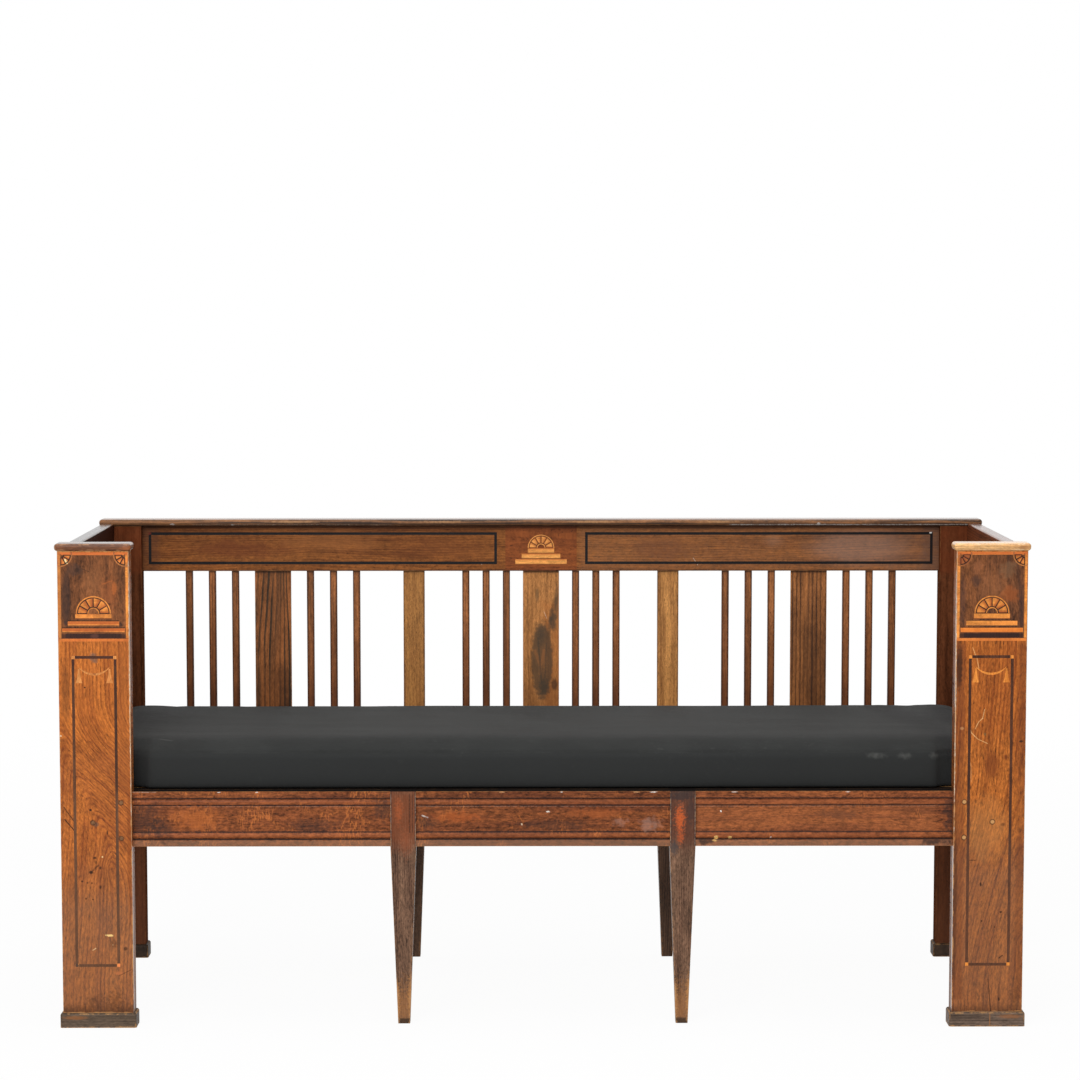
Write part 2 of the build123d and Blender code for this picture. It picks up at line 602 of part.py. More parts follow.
seat_deep = REAR_Y - APRON_BACK_Y
board_wide = (seat_deep - (SEAT_BOARD_COUNT - 1) * SEAT_BOARD_GAP) / SEAT_BOARD_COUNT
for i in range(SEAT_BOARD_COUNT):
    y0 = APRON_BACK_Y + i * (board_wide + SEAT_BOARD_GAP)
    board = block(-SIDE_RAIL_X, SIDE_RAIL_X, y0, y0 + board_wide, SEAT_UNDER, APRON_TOP)
    if i == 0:
        for piece in both_sides(front_leg) + both_sides(post):
            board -= piece
    if i == SEAT_BOARD_COUNT - 1:
        for piece in both_sides(rear_leg):
            board -= piece
    save(board, f"seat_board_{i + 1}")


# Cushion: sections across it, lofted along it
def cushion_section(along, deep_share, high_share):
    x = along * CUSHION_LONG / 2
    half = deep_share * CUSHION_DEEP / 2
    low = APRON_TOP + CUSHION_CLEAR
    top = low + high_share * CUSHION_SIDE_HIGH
    crown = top + high_share * CUSHION_CROWN
    r = CUSHION_SHOULDER
    lines = [
        Line((-half + r, low), (half - r, low)),
        ThreePointArc((half - r, low), (half, (low + top) / 2), (half - r, top)),
        ThreePointArc((half - r, top), (0, crown), (-half + r, top)),
        ThreePointArc((-half + r, top), (-half, (low + top) / 2), (-half + r, low)),
    ]
    return Pos(x, 0, 0) * (Plane.YZ * make_face(lines))


cushion = loft([cushion_section(*shares) for shares in CUSHION_SHARES], ruled=True)
save(cushion, "seat_cushion")
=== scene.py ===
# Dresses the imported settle: aged and waxed oak, marquetry, a stuffed cushion and a plain studio.
# Everything is in metres, in the settle's own frame: X along it, Y from front to back, Z up.
import math
from types import SimpleNamespace

import bmesh
import bpy
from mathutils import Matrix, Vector, noise


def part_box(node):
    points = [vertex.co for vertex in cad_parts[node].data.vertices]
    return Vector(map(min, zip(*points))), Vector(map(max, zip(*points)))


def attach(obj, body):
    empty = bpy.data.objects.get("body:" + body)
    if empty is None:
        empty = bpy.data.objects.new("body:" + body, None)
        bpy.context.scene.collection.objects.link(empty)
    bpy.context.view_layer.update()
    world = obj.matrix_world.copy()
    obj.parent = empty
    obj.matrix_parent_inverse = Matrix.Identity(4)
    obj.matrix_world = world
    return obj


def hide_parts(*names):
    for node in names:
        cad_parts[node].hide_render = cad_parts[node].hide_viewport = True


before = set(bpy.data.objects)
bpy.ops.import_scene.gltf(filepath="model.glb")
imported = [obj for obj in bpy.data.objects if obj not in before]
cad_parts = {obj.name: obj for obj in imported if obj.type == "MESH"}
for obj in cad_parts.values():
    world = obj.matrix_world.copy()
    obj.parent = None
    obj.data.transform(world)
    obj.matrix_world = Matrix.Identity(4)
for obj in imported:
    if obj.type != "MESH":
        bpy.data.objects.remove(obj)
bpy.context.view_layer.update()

bl_info = {
    "name": "Marquetry box settle",
    "version": (1, 0, 0),
    "blender": (4, 5, 0),
    "location": "3D View > Sidebar > Settle",
    "description": "Finishes the wood, the inlay and the cushion of a box settle, and lights it",
    "category": "Add Mesh",
}

# Places on the settle that several finishes need
POST_LOW, POST_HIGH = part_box("front_post_right")
FRONT_Y = POST_LOW[1]
REAR_POST_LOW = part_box("rear_post_right")[0]
FRIEZE_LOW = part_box("back_frieze_rail")[0]
APRON_LOW, APRON_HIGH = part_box("apron_center")
LEG_LOW, LEG_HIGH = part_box("front_middle_leg_right")
REAR_LEG_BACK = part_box("rear_middle_leg_right")[1][1]
CUSHION_LOW, CUSHION_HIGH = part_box("seat_cushion")
POST_MID = (POST_LOW[0] + POST_HIGH[0]) / 2
LEG_MID = (LEG_LOW[0] + LEG_HIGH[0]) / 2
LEG_HALF = (LEG_HIGH[0] - LEG_LOW[0]) / 2
TOE_HALF = 0.011
LEG_SHOULDER = APRON_LOW[2]
CAP_Y = -0.304  # the front of the caps
# The posts' marquetry: its lowest edge, the border's inner edges, and the fans' heights and radii
PANEL_LOW = 0.715
BORDER_HALF = 0.0583
BORDER_TOP = 0.8728
CORNER_RADII = (0.0056, 0.0178)
BURST_UP = 0.051
BURST_RADII = (0.0118, 0.0287)
PEG_RADIUS = 0.004
SPINDLE_WIDE = 0.0145
# Pegs and plugs on the right-hand front post, as X and Z
PEG_PLACES = ((0.772, 0.418), (0.772, 0.352), (0.824, 0.381))
# Quirks of the apron's moulding, the flat that lies behind its face, and the beads between the quirks
QUIRK_HEIGHTS = (0.3470, 0.3602, 0.4098, 0.4230)
APRON_FLAT = APRON_LOW[1] + 0.0035
BEAD_HEIGHTS = (0.3490, 0.4118)
BEAD_HIGH = 0.0092
# The apron's rubbed upper edge
APRON_EDGE = 0.4345


def tone(red, green, blue):
    """A colour as a picture viewer shows it, 0 to 255, in Blender's linear values."""
    values = [value / 255 for value in (red, green, blue)]
    return tuple(v / 12.92 if v <= 0.04045 else ((v + 0.055) / 1.055) ** 2.4 for v in values) + (1.0,)


def shaded(value, share):
    """A colour made darker or lighter."""
    return tuple(share * part for part in value[:3]) + (1.0,)


def colour(label, words, *shown):
    return bpy.props.FloatVectorProperty(
        name=label, description=words, subtype="COLOR", size=4, min=0.0, max=1.0, default=tone(*shown))


def length(label, words, default, most=1.0):
    return bpy.props.FloatProperty(
        name=label, description=words, unit="LENGTH", default=default, min=0.0, max=most, precision=4)


def watts(label, words, default):
    return bpy.props.FloatProperty(
        name=label, description=words, unit="POWER", default=default, min=0.0)


def number(label, words, default, most):
    return bpy.props.FloatProperty(name=label, description=words, default=default, min=0.0, max=most)


class SettleWoods(bpy.types.PropertyGroup):
    """Colours of the woods, each as a light and a dark that the grain goes between"""
    post_light: colour("Post, light", "Late wood of the front posts", 180, 103, 42)
    post_dark: colour("Post, dark", "Early wood of the front posts", 120, 60, 26)
    panel_light: colour("Rear posts and arms, light", "Late wood of the dark boards", 98, 56, 34)
    panel_dark: colour("Rear posts and arms, dark", "Early wood of the dark boards", 64, 34, 20)
    frieze_light: colour("Frieze, light", "Late wood of the frieze rail", 146, 88, 41)
    frieze_dark: colour("Frieze, dark", "Early wood of the frieze rail", 92, 48, 20)
    apron_light: colour("Apron, light", "Late wood of the apron", 133, 74, 39)
    apron_dark: colour("Apron, dark", "Early wood of the apron", 86, 44, 28)
    cap_dark: colour("Left cap", "The left cap, which has kept its dark wax", 104, 60, 32)
    cap_light: colour("Right cap", "The right cap, which is worn pale", 232, 182, 122)
    rail_cap: colour("Back cap rail", "The long cap over the back", 138, 92, 56)
    shoe: colour("Shoes", "Scuffed blocks under the posts", 100, 80, 64)
    leg: colour("Middle legs", "Worn oak of the tapered legs", 120, 90, 70)
    # the rear legs' darker colour is painted shade, as they stand under the seat
    rear_leg: colour("Rear middle legs", "Darker legs at the back", 100, 76, 60)
    spindle: colour("Spindles", "Slim uprights of the back and the sides", 166, 104, 60)
    wide_slat: colour("Wide slats", "Broad flat uprights", 158, 96, 52)
    veneer: colour("Dark veneer", "Field of the post panels and the plaque", 125, 75, 42)
    satinwood: colour("Satinwood", "Light pieces of the marquetry", 222, 140, 62)
    ebony: colour("Ebony", "Black lines of the frieze", 27, 25, 26)
    pine: colour("Pine", "Hidden boards and bearers under the cushion", 186, 146, 98)
    worn: colour("Worn edge", "Bare wood where an edge is rubbed", 196, 142, 88)
    grime: colour("Grime", "Old wax and dirt in corners and pores", 44, 28, 20)


class SettleGrain(bpy.types.PropertyGroup):
    """Sizes of the grain and of the wear"""
    ring_width: length("Ring width", "Distance between two growth rings", 0.0052, 0.05)
    pore_long: length("Pore length", "Length of an open pore along the grain", 0.006, 0.05)
    pore_wide: length("Pore width", "Width of an open pore", 0.0012, 0.01)
    wear_wide: length("Edge wear", "How far a rubbed edge reaches", 0.0022, 0.02)
    bump_deep: length("Grain depth", "Height between a pore's floor and the surface", 0.0004, 0.002)


class SettleCushion(bpy.types.PropertyGroup):
    """Sizes and colour of the loose cushion"""
    inset: length("Start inset", "How much smaller than its place the cover starts", 0.006, 0.03)
    voxel: length("Mesh size", "Size of the mesh that the cover is stuffed as", 0.007, 0.02)
    swell_most: length("Most swelling", "How far stuffing may move the cover", 0.008, 0.03)
    edge_round: length("Edge rounding", "Radius of the long rear edges", 0.017, 0.05)
    roll_deep: length("Roll depth", "How far back the soft roll along the front reaches", 0.075, 0.2)
    roll_high: length("Roll height", "How far the top falls over that roll", 0.017, 0.05)
    overhang: length("Overhang", "How far the front lies over the apron", 0.016, 0.02)
    seam_deep: length("Seam depth", "How deep the seams draw in", 0.0030, 0.01)
    pressure: number("Stuffing", "Pressure of the stuffing in the cover", 4.0, 20.0)
    frames: bpy.props.IntProperty(
        name="Frames", description="Frames that the stuffing runs for", default=20, min=1, max=60)
    cloth: colour("Cover", "Black woven cover, a little faded", 47, 48, 47)
    dust: colour("Dust", "Lint and dust on the cover", 112, 112, 108)
    thread: length("Thread pitch", "Distance between two threads of the weave", 0.0011, 0.01)


class SettleStage(bpy.types.PropertyGroup):
    """Camera, lamps and floor"""
    camera_place: bpy.props.FloatVectorProperty(
        name="Camera", description="Where the camera stands", subtype="TRANSLATION", unit="LENGTH",
        default=(-0.038, -5.5175, 1.3435))
    camera_turn: bpy.props.FloatVectorProperty(
        name="Camera turn", description="Tilt and heading of the camera", subtype="EULER",
        default=(math.pi / 2 - 0.0848, 0.0, -0.0062))
    lens: bpy.props.FloatProperty(
        name="Lens", description="Focal length on a sensor 36 mm wide", default=96.1, min=10.0, max=300.0)
    floor_size: length("Floor", "Length of each side of the floor", 40.0, 100.0)
    key_watts: watts("Front lamp", "Power of the large lamp in front", 150.0)
    top_watts: watts("Top lamp", "Power of the lamp overhead", 45.0)
    fill: number("Fill", "Strength of the even light from all round", 0.50, 2.0)


class Wire:
    """What a node puts out. Arithmetic on a wire adds the node that works the result out."""

    def __init__(self, tree, socket):
        self.tree = tree
        self.socket = socket

    def work(self, operation, *values):
        kind = self.tree.math if self.socket.type == "VALUE" else self.tree.vector
        return kind(operation, *values)

    def __add__(self, other):
        return self.work("ADD", self, other)

    def __radd__(self, other):
        return self.work("ADD", other, self)

    def __sub__(self, other):
        return self.work("SUBTRACT", self, other)

    def __rsub__(self, other):
        return self.work("SUBTRACT", other, self)

    def __mul__(self, other):
        return self.work("MULTIPLY", self, other)

    def __truediv__(self, other):
        return self.work("DIVIDE", self, other)

    def __rtruediv__(self, other):
        return self.work("DIVIDE", other, self)

    def __abs__(self):
        return self.work("ABSOLUTE", self)

    def times(self, factor, more):
        """This, multiplied and then added to, in one node."""
        return self.tree.math("MULTIPLY_ADD", self, factor, more)

    def scaled(self, share):
        return self.tree.vector("SCALE", self, Scale=share)


def wires(tree, sockets):
    """Sockets as wires, under their names in small letters, with underscores for spaces."""
    return SimpleNamespace(**{socket.name.lower().replace(" ", "_"): Wire(tree, socket)
                              for socket in sockets if socket.name})


class Tree:
    """A node tree that is being filled. Its methods add a node, join it up and return what it puts out."""

    def __init__(self, tree):
        self.tree = tree

    def add(self, kind, **settings):
        node = self.tree.nodes.new(kind)
        for name, value in settings.items():
            setattr(node, name, value)
        return node

    def feed(self, socket, value):
        if isinstance(value, Wire):
            self.tree.links.new(value.socket, socket)
        elif value is not None:
            socket.default_value = value

    def fill(self, node, **values):
        """Feeds a node's inputs by name. An underscore stands for a space in the input's name."""
        for key, value in values.items():
            self.feed(node.inputs[key.replace("_", " ")], value)
        return node

    def wire(self, node, output=0):
        return Wire(self, node.outputs[output])

    def run(self, node, values, output=0):
        """Feeds a node's inputs in their order."""
        for socket, value in zip(node.inputs, values):
            self.feed(socket, value)
        return self.wire(node, output)

    def place(self):
        """Where a point lies on its own object."""
        return self.wire(self.add("ShaderNodeTexCoord"), "Object")

    def math(self, operation, *values, clamp=False):
        return self.run(self.add("ShaderNodeMath", operation=operation, use_clamp=clamp), values)

    def vector(self, operation, *values, **named):
        node = self.fill(self.add("ShaderNodeVectorMath", operation=operation), **named)
        return self.run(node, values, "Value" if operation in ("LENGTH", "DOT_PRODUCT") else "Vector")

    def dot(self, a, b):
        return self.vector("DOT_PRODUCT", a, b)

    def split(self, vector):
        node = self.add("ShaderNodeSeparateXYZ")
        self.feed(node.inputs[0], vector)
        return [Wire(self, output) for output in node.outputs]

    def join(self, x, y, z):
        return self.run(self.add("ShaderNodeCombineXYZ"), (x, y, z))

    def slope(self, value, start, end, low=0.0, high=1.0):
        """Goes smoothly from low to high while value goes from start to end."""
        node = self.add("ShaderNodeMapRange", interpolation_type="SMOOTHSTEP")
        return self.run(node, (value, start, end, low, high))

    def fade(self, value, start, end):
        """Goes smoothly from one to nothing while value goes from start to end."""
        return self.slope(value, start, end, 1.0, 0.0)

    def mix(self, share, a, b, blend="MIX"):
        node = self.add("ShaderNodeMix", data_type="RGBA", blend_type=blend)
        for place, value in ((0, share), (6, a), (7, b)):
            self.feed(node.inputs[place], value)
        return self.wire(node, 2)

    def noise(self, vector, scale=1.0, detail=2.0, roughness=0.5, part="Fac"):
        node = self.fill(self.add("ShaderNodeTexNoise"), Vector=vector, Scale=scale, Detail=detail,
                         Roughness=roughness)
        return self.wire(node, part)

    def use(self, name, **values):
        """Places a node group and feeds its inputs by name."""
        node = self.fill(self.add("ShaderNodeGroup", node_tree=bpy.data.node_groups[name]), **values)
        return wires(self, node.outputs)

    def bump(self, shader, height, strength, distance):
        node = self.fill(self.add("ShaderNodeBump"), Strength=strength, Distance=distance, Height=height)
        self.fill(shader, Normal=self.wire(node, "Normal"))


ORIGIN = (0.0, 0.0, 0.0)
GROUP_PLANS = []


def group(name, inputs, outputs=("Mask",)):
    """Marks a function that fills a node group. It gets the tree and inputs, and returns the outputs."""
    def keep(fill):
        GROUP_PLANS.append((name, dict({"Vector": ORIGIN}, **inputs), outputs, fill))
        return fill
    return keep


def build_groups():
    for name, inputs, outputs, fill in GROUP_PLANS:
        tree = bpy.data.node_groups.new(name, "ShaderNodeTree")
        for label, default in inputs.items():
            kind = "NodeSocketFloat"
            if isinstance(default, tuple):
                kind = "NodeSocketVector" if len(default) == 3 else "NodeSocketColor"
            tree.interface.new_socket(name=label, in_out="INPUT", socket_type=kind).default_value = default
        for label in outputs:
            kind = "NodeSocketColor" if label == "Color" else "NodeSocketFloat"
            tree.interface.new_socket(name=label, in_out="OUTPUT", socket_type=kind)
        t = Tree(tree)
        given = wires(t, t.add("NodeGroupInput").outputs)
        target = t.add("NodeGroupOutput")
        results = fill(t, given)
        for label, value in zip(outputs, results if isinstance(results, tuple) else (results,)):
            t.feed(target.inputs[label], value)


@group("Oak grain", {
    "Pith": (0.0, 0.03, 0.0), "Cone": 0.0, "Swell": 0.0, "Seed": 0.0, "Ring width": 0.005, "Wander": 0.006,
    "Pore long": 0.01, "Pore wide": 0.001, "Pore share": 0.5, "Ring contrast": 0.6, "Grit": 0.2,
    "Mottle": 0.3, "Drift": 0.0, "Light": (0.4, 0.2, 0.1, 1.0), "Dark": (0.2, 0.1, 0.05, 1.0),
    "Pore colour": (0.03, 0.015, 0.01, 1.0),
}, ("Color", "Roughness", "Height"))
def oak_grain(t, given):
    """Growth rings round a pith, with open pores along them. The grain runs along the vector's Z."""
    shift = t.join(given.seed, given.seed, given.seed)
    place = given.vector - given.pith
    push = t.noise(place * (14.0, 14.0, 3.0) + shift, detail=3.0, part="Color") - (0.5, 0.5, 0.5)
    x, y, z = t.split(place + push.scaled(given.wander))
    x = x - given.drift
    deep = z.times(given.cone, y)
    radius = t.math("SQRT", x * x + deep * deep) + given.swell

    def grained(out, aside, along, roughness):
        """Noise that is drawn out along the grain."""
        return t.noise(t.join(radius * out, x * aside, z * along) + shift, detail=3.0, roughness=roughness)

    rings = radius / given.ring_width
    phase = t.math("FRACT", rings + given.seed)
    early = t.slope(phase, 0.0, 0.10) * t.fade(phase, 0.14, 0.62)
    years = t.noise(t.join(rings * 0.43, given.seed, z * 1.5))
    early = early * t.slope(years, 0.3, 0.7, 0.25, 1.0)
    pore_at = t.join(radius / given.pore_wide, x / (given.pore_wide * 2.2), z / given.pore_long)
    pore_noise = t.noise(pore_at + shift, detail=1.0)
    edge = 0.74 - given.pore_share * 0.22
    pores = t.slope(pore_noise, edge, edge + 0.07) * early.times(0.65, 0.35)
    fibre = grained(700.0, 260.0, 14.0, 0.6)
    streak = grained(75.0, 22.0, 3.4, 0.55)
    tint = early * given.ring_contrast + t.slope(streak, 0.36, 0.70, 0.0, 0.55)
    tint = t.math("ADD", tint, t.slope(fibre, 0.35, 0.70, -0.12, 0.22), clamp=True)
    body = t.mix(tint, given.light, given.dark)
    body = t.mix(pores * 0.85, body, given.pore_colour)
    grit = grained(290.0, 240.0, 100.0, 0.75)
    bright = (grit - 0.5).times(given.grit * 8.0, 1.0)
    cloud = t.noise(place * (42.0, 42.0, 17.0) + shift, detail=5.0, roughness=0.68)
    bright = bright + (cloud - 0.5) * (given.mottle * 2.6)
    body = t.mix(1.0, body, t.join(bright, bright, bright), "MULTIPLY")
    rough = pores.times(0.30, fibre.times(0.16, 0.34))
    return body, rough, fibre.times(0.25, early * -0.2) - pores


@group("Knot swell", {"Centre": ORIGIN, "Reach": (0.05, 0.05, 0.1), "Amount": 0.02}, ("Swell",))
def knot_swell(t, given):
    """Pushes the rings aside round a knot."""
    away = (given.vector - given.centre) / given.reach
    return t.math("EXPONENT", t.dot(away, away) * -1.0) * given.amount


def roughened(t, given, far):
    """A distance that noise makes uneven."""
    grit = t.noise(given.vector.scaled(1.0 / given.coarse), detail=3.0)
    return (grit - 0.5).times(given.ragged, far)


@group("Blot", {"Centre": ORIGIN, "Reach": (0.01, 0.01, 0.01), "Soft": 0.5, "Ragged": 0.5, "Coarse": 0.01})
def blot_mask(t, given):
    """A soft, uneven spot, used for knots, stains, chips and dirt."""
    far = roughened(t, given, t.vector("LENGTH", (given.vector - given.centre) / given.reach))
    return t.fade(far, 1.0 - given.soft, 1.0)


@group("Scratch", {"Start": ORIGIN, "End": (0.0, 0.0, 0.1), "Width": 0.001, "Broken": 0.3})
def scratch_mask(t, given):
    """A thin line between two points, broken up along its way."""
    run = given.end - given.start
    back = given.vector - given.start
    share = t.math("DIVIDE", t.dot(back, run), t.dot(run, run), clamp=True)
    far = t.vector("LENGTH", back - run.scaled(share))
    far = (t.noise(given.vector, scale=160.0) - 0.5).times(given.width, far)
    line = t.fade(far, given.width * 0.35, given.width)
    gaps = t.slope(t.noise(given.vector, scale=420.0), 0.35, 0.6)
    return line * (gaps - 1.0).times(given.broken, 1.0)


def near_face(t, y):
    """Keeps a mark to the face that it is on."""
    return t.fade(abs(y), 0.001, 0.002)


@group("Peg ring", {"Centre": ORIGIN, "Radius": 0.004, "Width": 0.0012})
def ring_mask(t, given):
    """A thin dark ring round a peg, seen on a face that looks along Y."""
    x, y, z = t.split(given.vector - given.centre)
    far = t.math("SQRT", x * x + z * z)
    ring = t.fade(abs(far - given.radius), 0.0, given.width)
    near = near_face(t, y)
    patchy = t.slope(t.noise(given.vector, scale=500.0), 0.3, 0.6, 0.55, 1.0)
    return ring * near * patchy


def wear_mask(t, given, off_edge):
    """Turns a distance from an edge into wear that comes and goes along it."""
    scaled = given.vector.scaled(1.0 / given.coarse)
    patchy = t.noise(scaled + t.join(given.seed, given.seed, 0.0), detail=4.0, roughness=0.65)
    reach = given.reach * t.slope(patchy, 0.35, 0.68, 0.15, 1.9)
    return t.fade(off_edge / reach, 0.35, 1.0)


@group("Edge wear", {"Low": ORIGIN, "High": (1.0, 1.0, 1.0), "Reach": 0.002, "Seed": 0.0, "Coarse": 0.02})
def edge_wear(t, given):
    """Rubbed edges of a squared board. Low and High are its corners."""
    a, b, c = t.split(t.vector("MINIMUM", given.vector - given.low, given.high - given.vector))
    second = t.math("MAXIMUM", t.math("MINIMUM", a, b), t.math("MINIMUM", t.math("MAXIMUM", a, b), c))
    return wear_mask(t, given, second)


@group("Leg wear", {"Middle": ORIGIN, "Half": 0.02, "Toe half": 0.01, "Shoulder": 0.33, "Reach": 0.002,
                    "Toe reach": 3.0, "Seed": 0.0, "Coarse": 0.012})
def leg_wear(t, given):
    """Rubbed edges of a leg that tapers below its shoulder."""
    x, y, z = t.split(abs(given.vector - given.middle))
    share = t.math("DIVIDE", z, given.shoulder, clamp=True)
    half = share.times(given.half - given.toe_half, given.toe_half)
    off_edge = t.math("MAXIMUM", half - x, half - y)
    return wear_mask(t, given, off_edge / t.slope(z, 0.12, 0.03, 1.0, given.toe_reach))


@group("Weave", {"Pitch": 0.001, "Slub": 0.5}, ("Height", "Tint"))
def weave(t, given):
    """A plain weave with slubs, on whichever faces of the cover it lies."""
    per = 2.0 * math.pi / given.pitch
    x, y, z = t.split(given.vector)
    across = y + z
    threads = t.math("SINE", x * per) * t.math("SINE", across * per)
    slubs = t.noise(given.vector * (60.0, 900.0, 900.0))
    cloudy = t.noise(given.vector, scale=9.0, detail=4.0)
    return slubs.times(given.slub, threads * 0.3), (slubs - 0.5).times(0.5, cloudy)


@group("Dust", {"Speck": 0.003, "Share": 0.3, "Seed": 0.0})
def dust_mask(t, given):
    """Specks of lint and dust."""
    scaled = given.vector.scaled(1.0 / given.speck)
    specks = t.noise(scaled + t.join(given.seed, 0.0, given.seed), detail=1.0)
    fields = t.noise(given.vector, scale=14.0, detail=3.0)
    edge = 0.80 - given.share * 0.12
    return t.slope(specks, edge, edge + 0.05) * t.slope(fields, 0.4, 0.65)


@group("Ray flecks", {"Seed": 0.0, "Share": 0.5, "Spacing": 0.0060})
def ray_flecks(t, given):
    """Bright wavy streaks that cross the grain of quarter-cut oak. The grain runs along the vector's Z."""
    shift = t.join(given.seed, given.seed, given.seed)
    scaled = given.vector.scaled(1.0 / given.spacing)
    push = t.noise(scaled.scaled(0.35) + shift, part="Color")
    bent = scaled + push.scaled(1.2)
    streaks = t.noise(bent * (0.22, 0.22, 1.0) + shift)
    lines = t.fade(abs(streaks - 0.5), 0.0, 0.05)
    fields = t.noise(given.vector.scaled(22.0) + shift, detail=3.0)
    edge = 0.70 - given.share * 0.25
    return lines * t.slope(fields, edge, edge + 0.12)


FAN_INPUTS = {"Centre": ORIGIN, "Inner": 0.012, "Outer": 0.028, "Up": 1.0, "Side": 0.0, "Width": 0.0012}
WEDGE = math.pi / 6


def fan_place(t, given):
    """Where a point lies in a fan: its way out from the centre, and its way round in wedges."""
    x, y, z = t.split(given.vector - given.centre)
    far = t.math("SQRT", x * x + z * z)
    turn = t.math("ARCTAN2", z, x) / WEDGE
    upper = t.slope(z * given.up, -0.0012, -0.0002)
    side = t.slope(x * given.side, -0.0012, -0.0002)
    return far, turn, near_face(t, y) * (upper * side)


def inside_fan(t, given, far, mask):
    mask = mask * t.math("LESS_THAN", far, given.outer)
    return mask * t.math("GREATER_THAN", far, given.inner)


@group("Fan lines", FAN_INPUTS)
def fan_lines(t, given):
    """The dark lines between the wedges of a fan and along both ends of them."""
    far, turn, here = fan_place(t, given)
    off = abs(turn - t.math("ROUND", turn)) * far * WEDGE
    lines = inside_fan(t, given, far, t.fade(off, given.width * 0.5, given.width))
    for radius in (given.inner, given.outer):
        off = abs(far - radius)
        lines = t.math("MAXIMUM", lines, t.fade(off, given.width * 0.4, given.width))
    return lines * here


@group("Fan shade", FAN_INPUTS)
def fan_shade(t, given):
    """The scorched side of each wedge of a fan."""
    far, turn, here = fan_place(t, given)
    shade = t.fade(t.math("FRACT", turn), 0.05, 0.75)
    inward = t.slope(far, given.inner, given.outer * 0.75, 0.6, 0.0)
    return inside_fan(t, given, far, t.math("ADD", shade, inward, clamp=True)) * here


@group("Patch", {"Low": ORIGIN, "High": (1.0, 1.0, 1.0), "Soft": 0.001, "Ragged": 0.0, "Coarse": 0.01})
def patch_mask(t, given):
    """A soft-edged box, for bands of colour and stretches of haze."""
    a, b, c = t.split(t.vector("MINIMUM", given.vector - given.low, given.high - given.vector))
    off = roughened(t, given, t.math("MINIMUM", t.math("MINIMUM", a, b), c))
    return t.slope(off, given.soft * -0.5, given.soft * 0.5)


# What a board's finish is made from. Every entry can be given another value for one board
FINISH = {
    "light": None, "dark": None,
    "axis": "Z",              # the way the grain runs
    "pith": (0.0, 0.03, 0.0),  # where the middle of the tree was, in the grain's own axes
    "cone": 0.0, "wander": 0.010, "rings": 1.0, "ring_contrast": 0.55, "pores": 0.5, "pore_size": 1.0,
    "grit": 0.20, "mottle": 0.30, "seed": 0.0,
    "knots": (),              # (centre, reach, amount)
    "sweeps": (),             # (from, to, sideways drift of the pith, rise of the rings) along the grain
    "flecks": 0.0, "fleck_colour": None,
    "shine": None,            # (low corner, high corner) of the rubbed, shiny part
    "wear": 1.0, "wear_colour": None, "wear_strength": 0.8,
    "leg": None,              # where a tapered leg stands, if the board is one
    "marks": (),              # see paint_marks
    "gloss": 0.12, "rough": 0.0, "bump": 1.0,
}


def paint_marks(t, place, body, marks):
    """Lays marks over a colour. A mark is a dict: kind, what places it, colour and strength."""
    for mark in marks:
        sockets = {key: value for key, value in mark.items() if key not in ("kind", "colour", "strength")}
        mask = t.use(mark["kind"], Vector=place, **sockets).mask
        body = t.mix(mask * mark["strength"], body, mark["colour"])
    return body


def patch(x0, z0, x1, z1, colour, strength=0.6, y=FRONT_Y, deep=0.004, soft=0.002, ragged=0.0, coarse=0.01):
    return {"kind": "Patch", "Low": (x0, y - deep, z0), "High": (x1, y + deep, z1), "Soft": soft,
            "Ragged": ragged, "Coarse": coarse, "colour": colour, "strength": strength}


def blot(x, z, wide, high, colour, strength=0.8, y=FRONT_Y, deep=0.006, soft=0.6, ragged=0.6, coarse=0.01):
    return {"kind": "Blot", "Centre": (x, y, z), "Reach": (wide, deep, high), "Soft": soft,
            "Ragged": ragged, "Coarse": coarse, "colour": colour, "strength": strength}


def chip(x, z, wide, high, colour, y=FRONT_Y, strength=0.9):
    return blot(x, z, wide, high, colour, strength, y=y, soft=0.5, ragged=1.7, coarse=0.0022)


def scratch(x0, z0, x1, z1, width, colour, strength=0.8, y=FRONT_Y, broken=0.4):
    return {"kind": "Scratch", "Start": (x0, y, z0), "End": (x1, y, z1), "Width": width,
            "Broken": broken, "colour": colour, "strength": strength}


def ring(x, z, radius, width, colour, strength):
    return {"kind": "Peg ring", "Centre": (x, FRONT_Y, z), "Radius": radius, "Width": width,
            "colour": colour, "strength": strength}


def blots(colour, *rows, **settings):
    """Blots of one colour. A row is X, Z, the reach along both and, if it isn't the usual, the strength."""
    return [blot(*row[:4], colour, *row[4:], **settings) for row in rows]


def patches(colour, *rows, **settings):
    """Patches of one colour. A row is X, Z, X, Z and the strength."""
    return [patch(*row[:4], colour, *row[4:], **settings) for row in rows]


def trail(colour, *points, strength=0.8):
    """Scratches from point to point. A point is X, Z and the width of the scratch that comes to it."""
    return [scratch(*start[:2], *point, colour, strength) for start, point in zip(points, points[1:])]


def on_face(y, marks):
    """Moves marks from the front posts' face to the face at y."""
    for mark in marks:
        for key in {"Low", "High", "Centre", "Start", "End"} & mark.keys():
            x, old, z = mark[key]
            mark[key] = (x, old + y - FRONT_Y, z)
    return marks


def fan(centre, inner, outer, shade, line, width=0.0015, **ways):
    """Scorched wedges and the dark lines between them."""
    place = dict(ways, Centre=centre, Inner=inner, Outer=outer)
    return [dict(place, kind="Fan shade", colour=shade[0], strength=shade[1]),
            dict(place, kind="Fan lines", Width=width, colour=line, strength=0.9)]


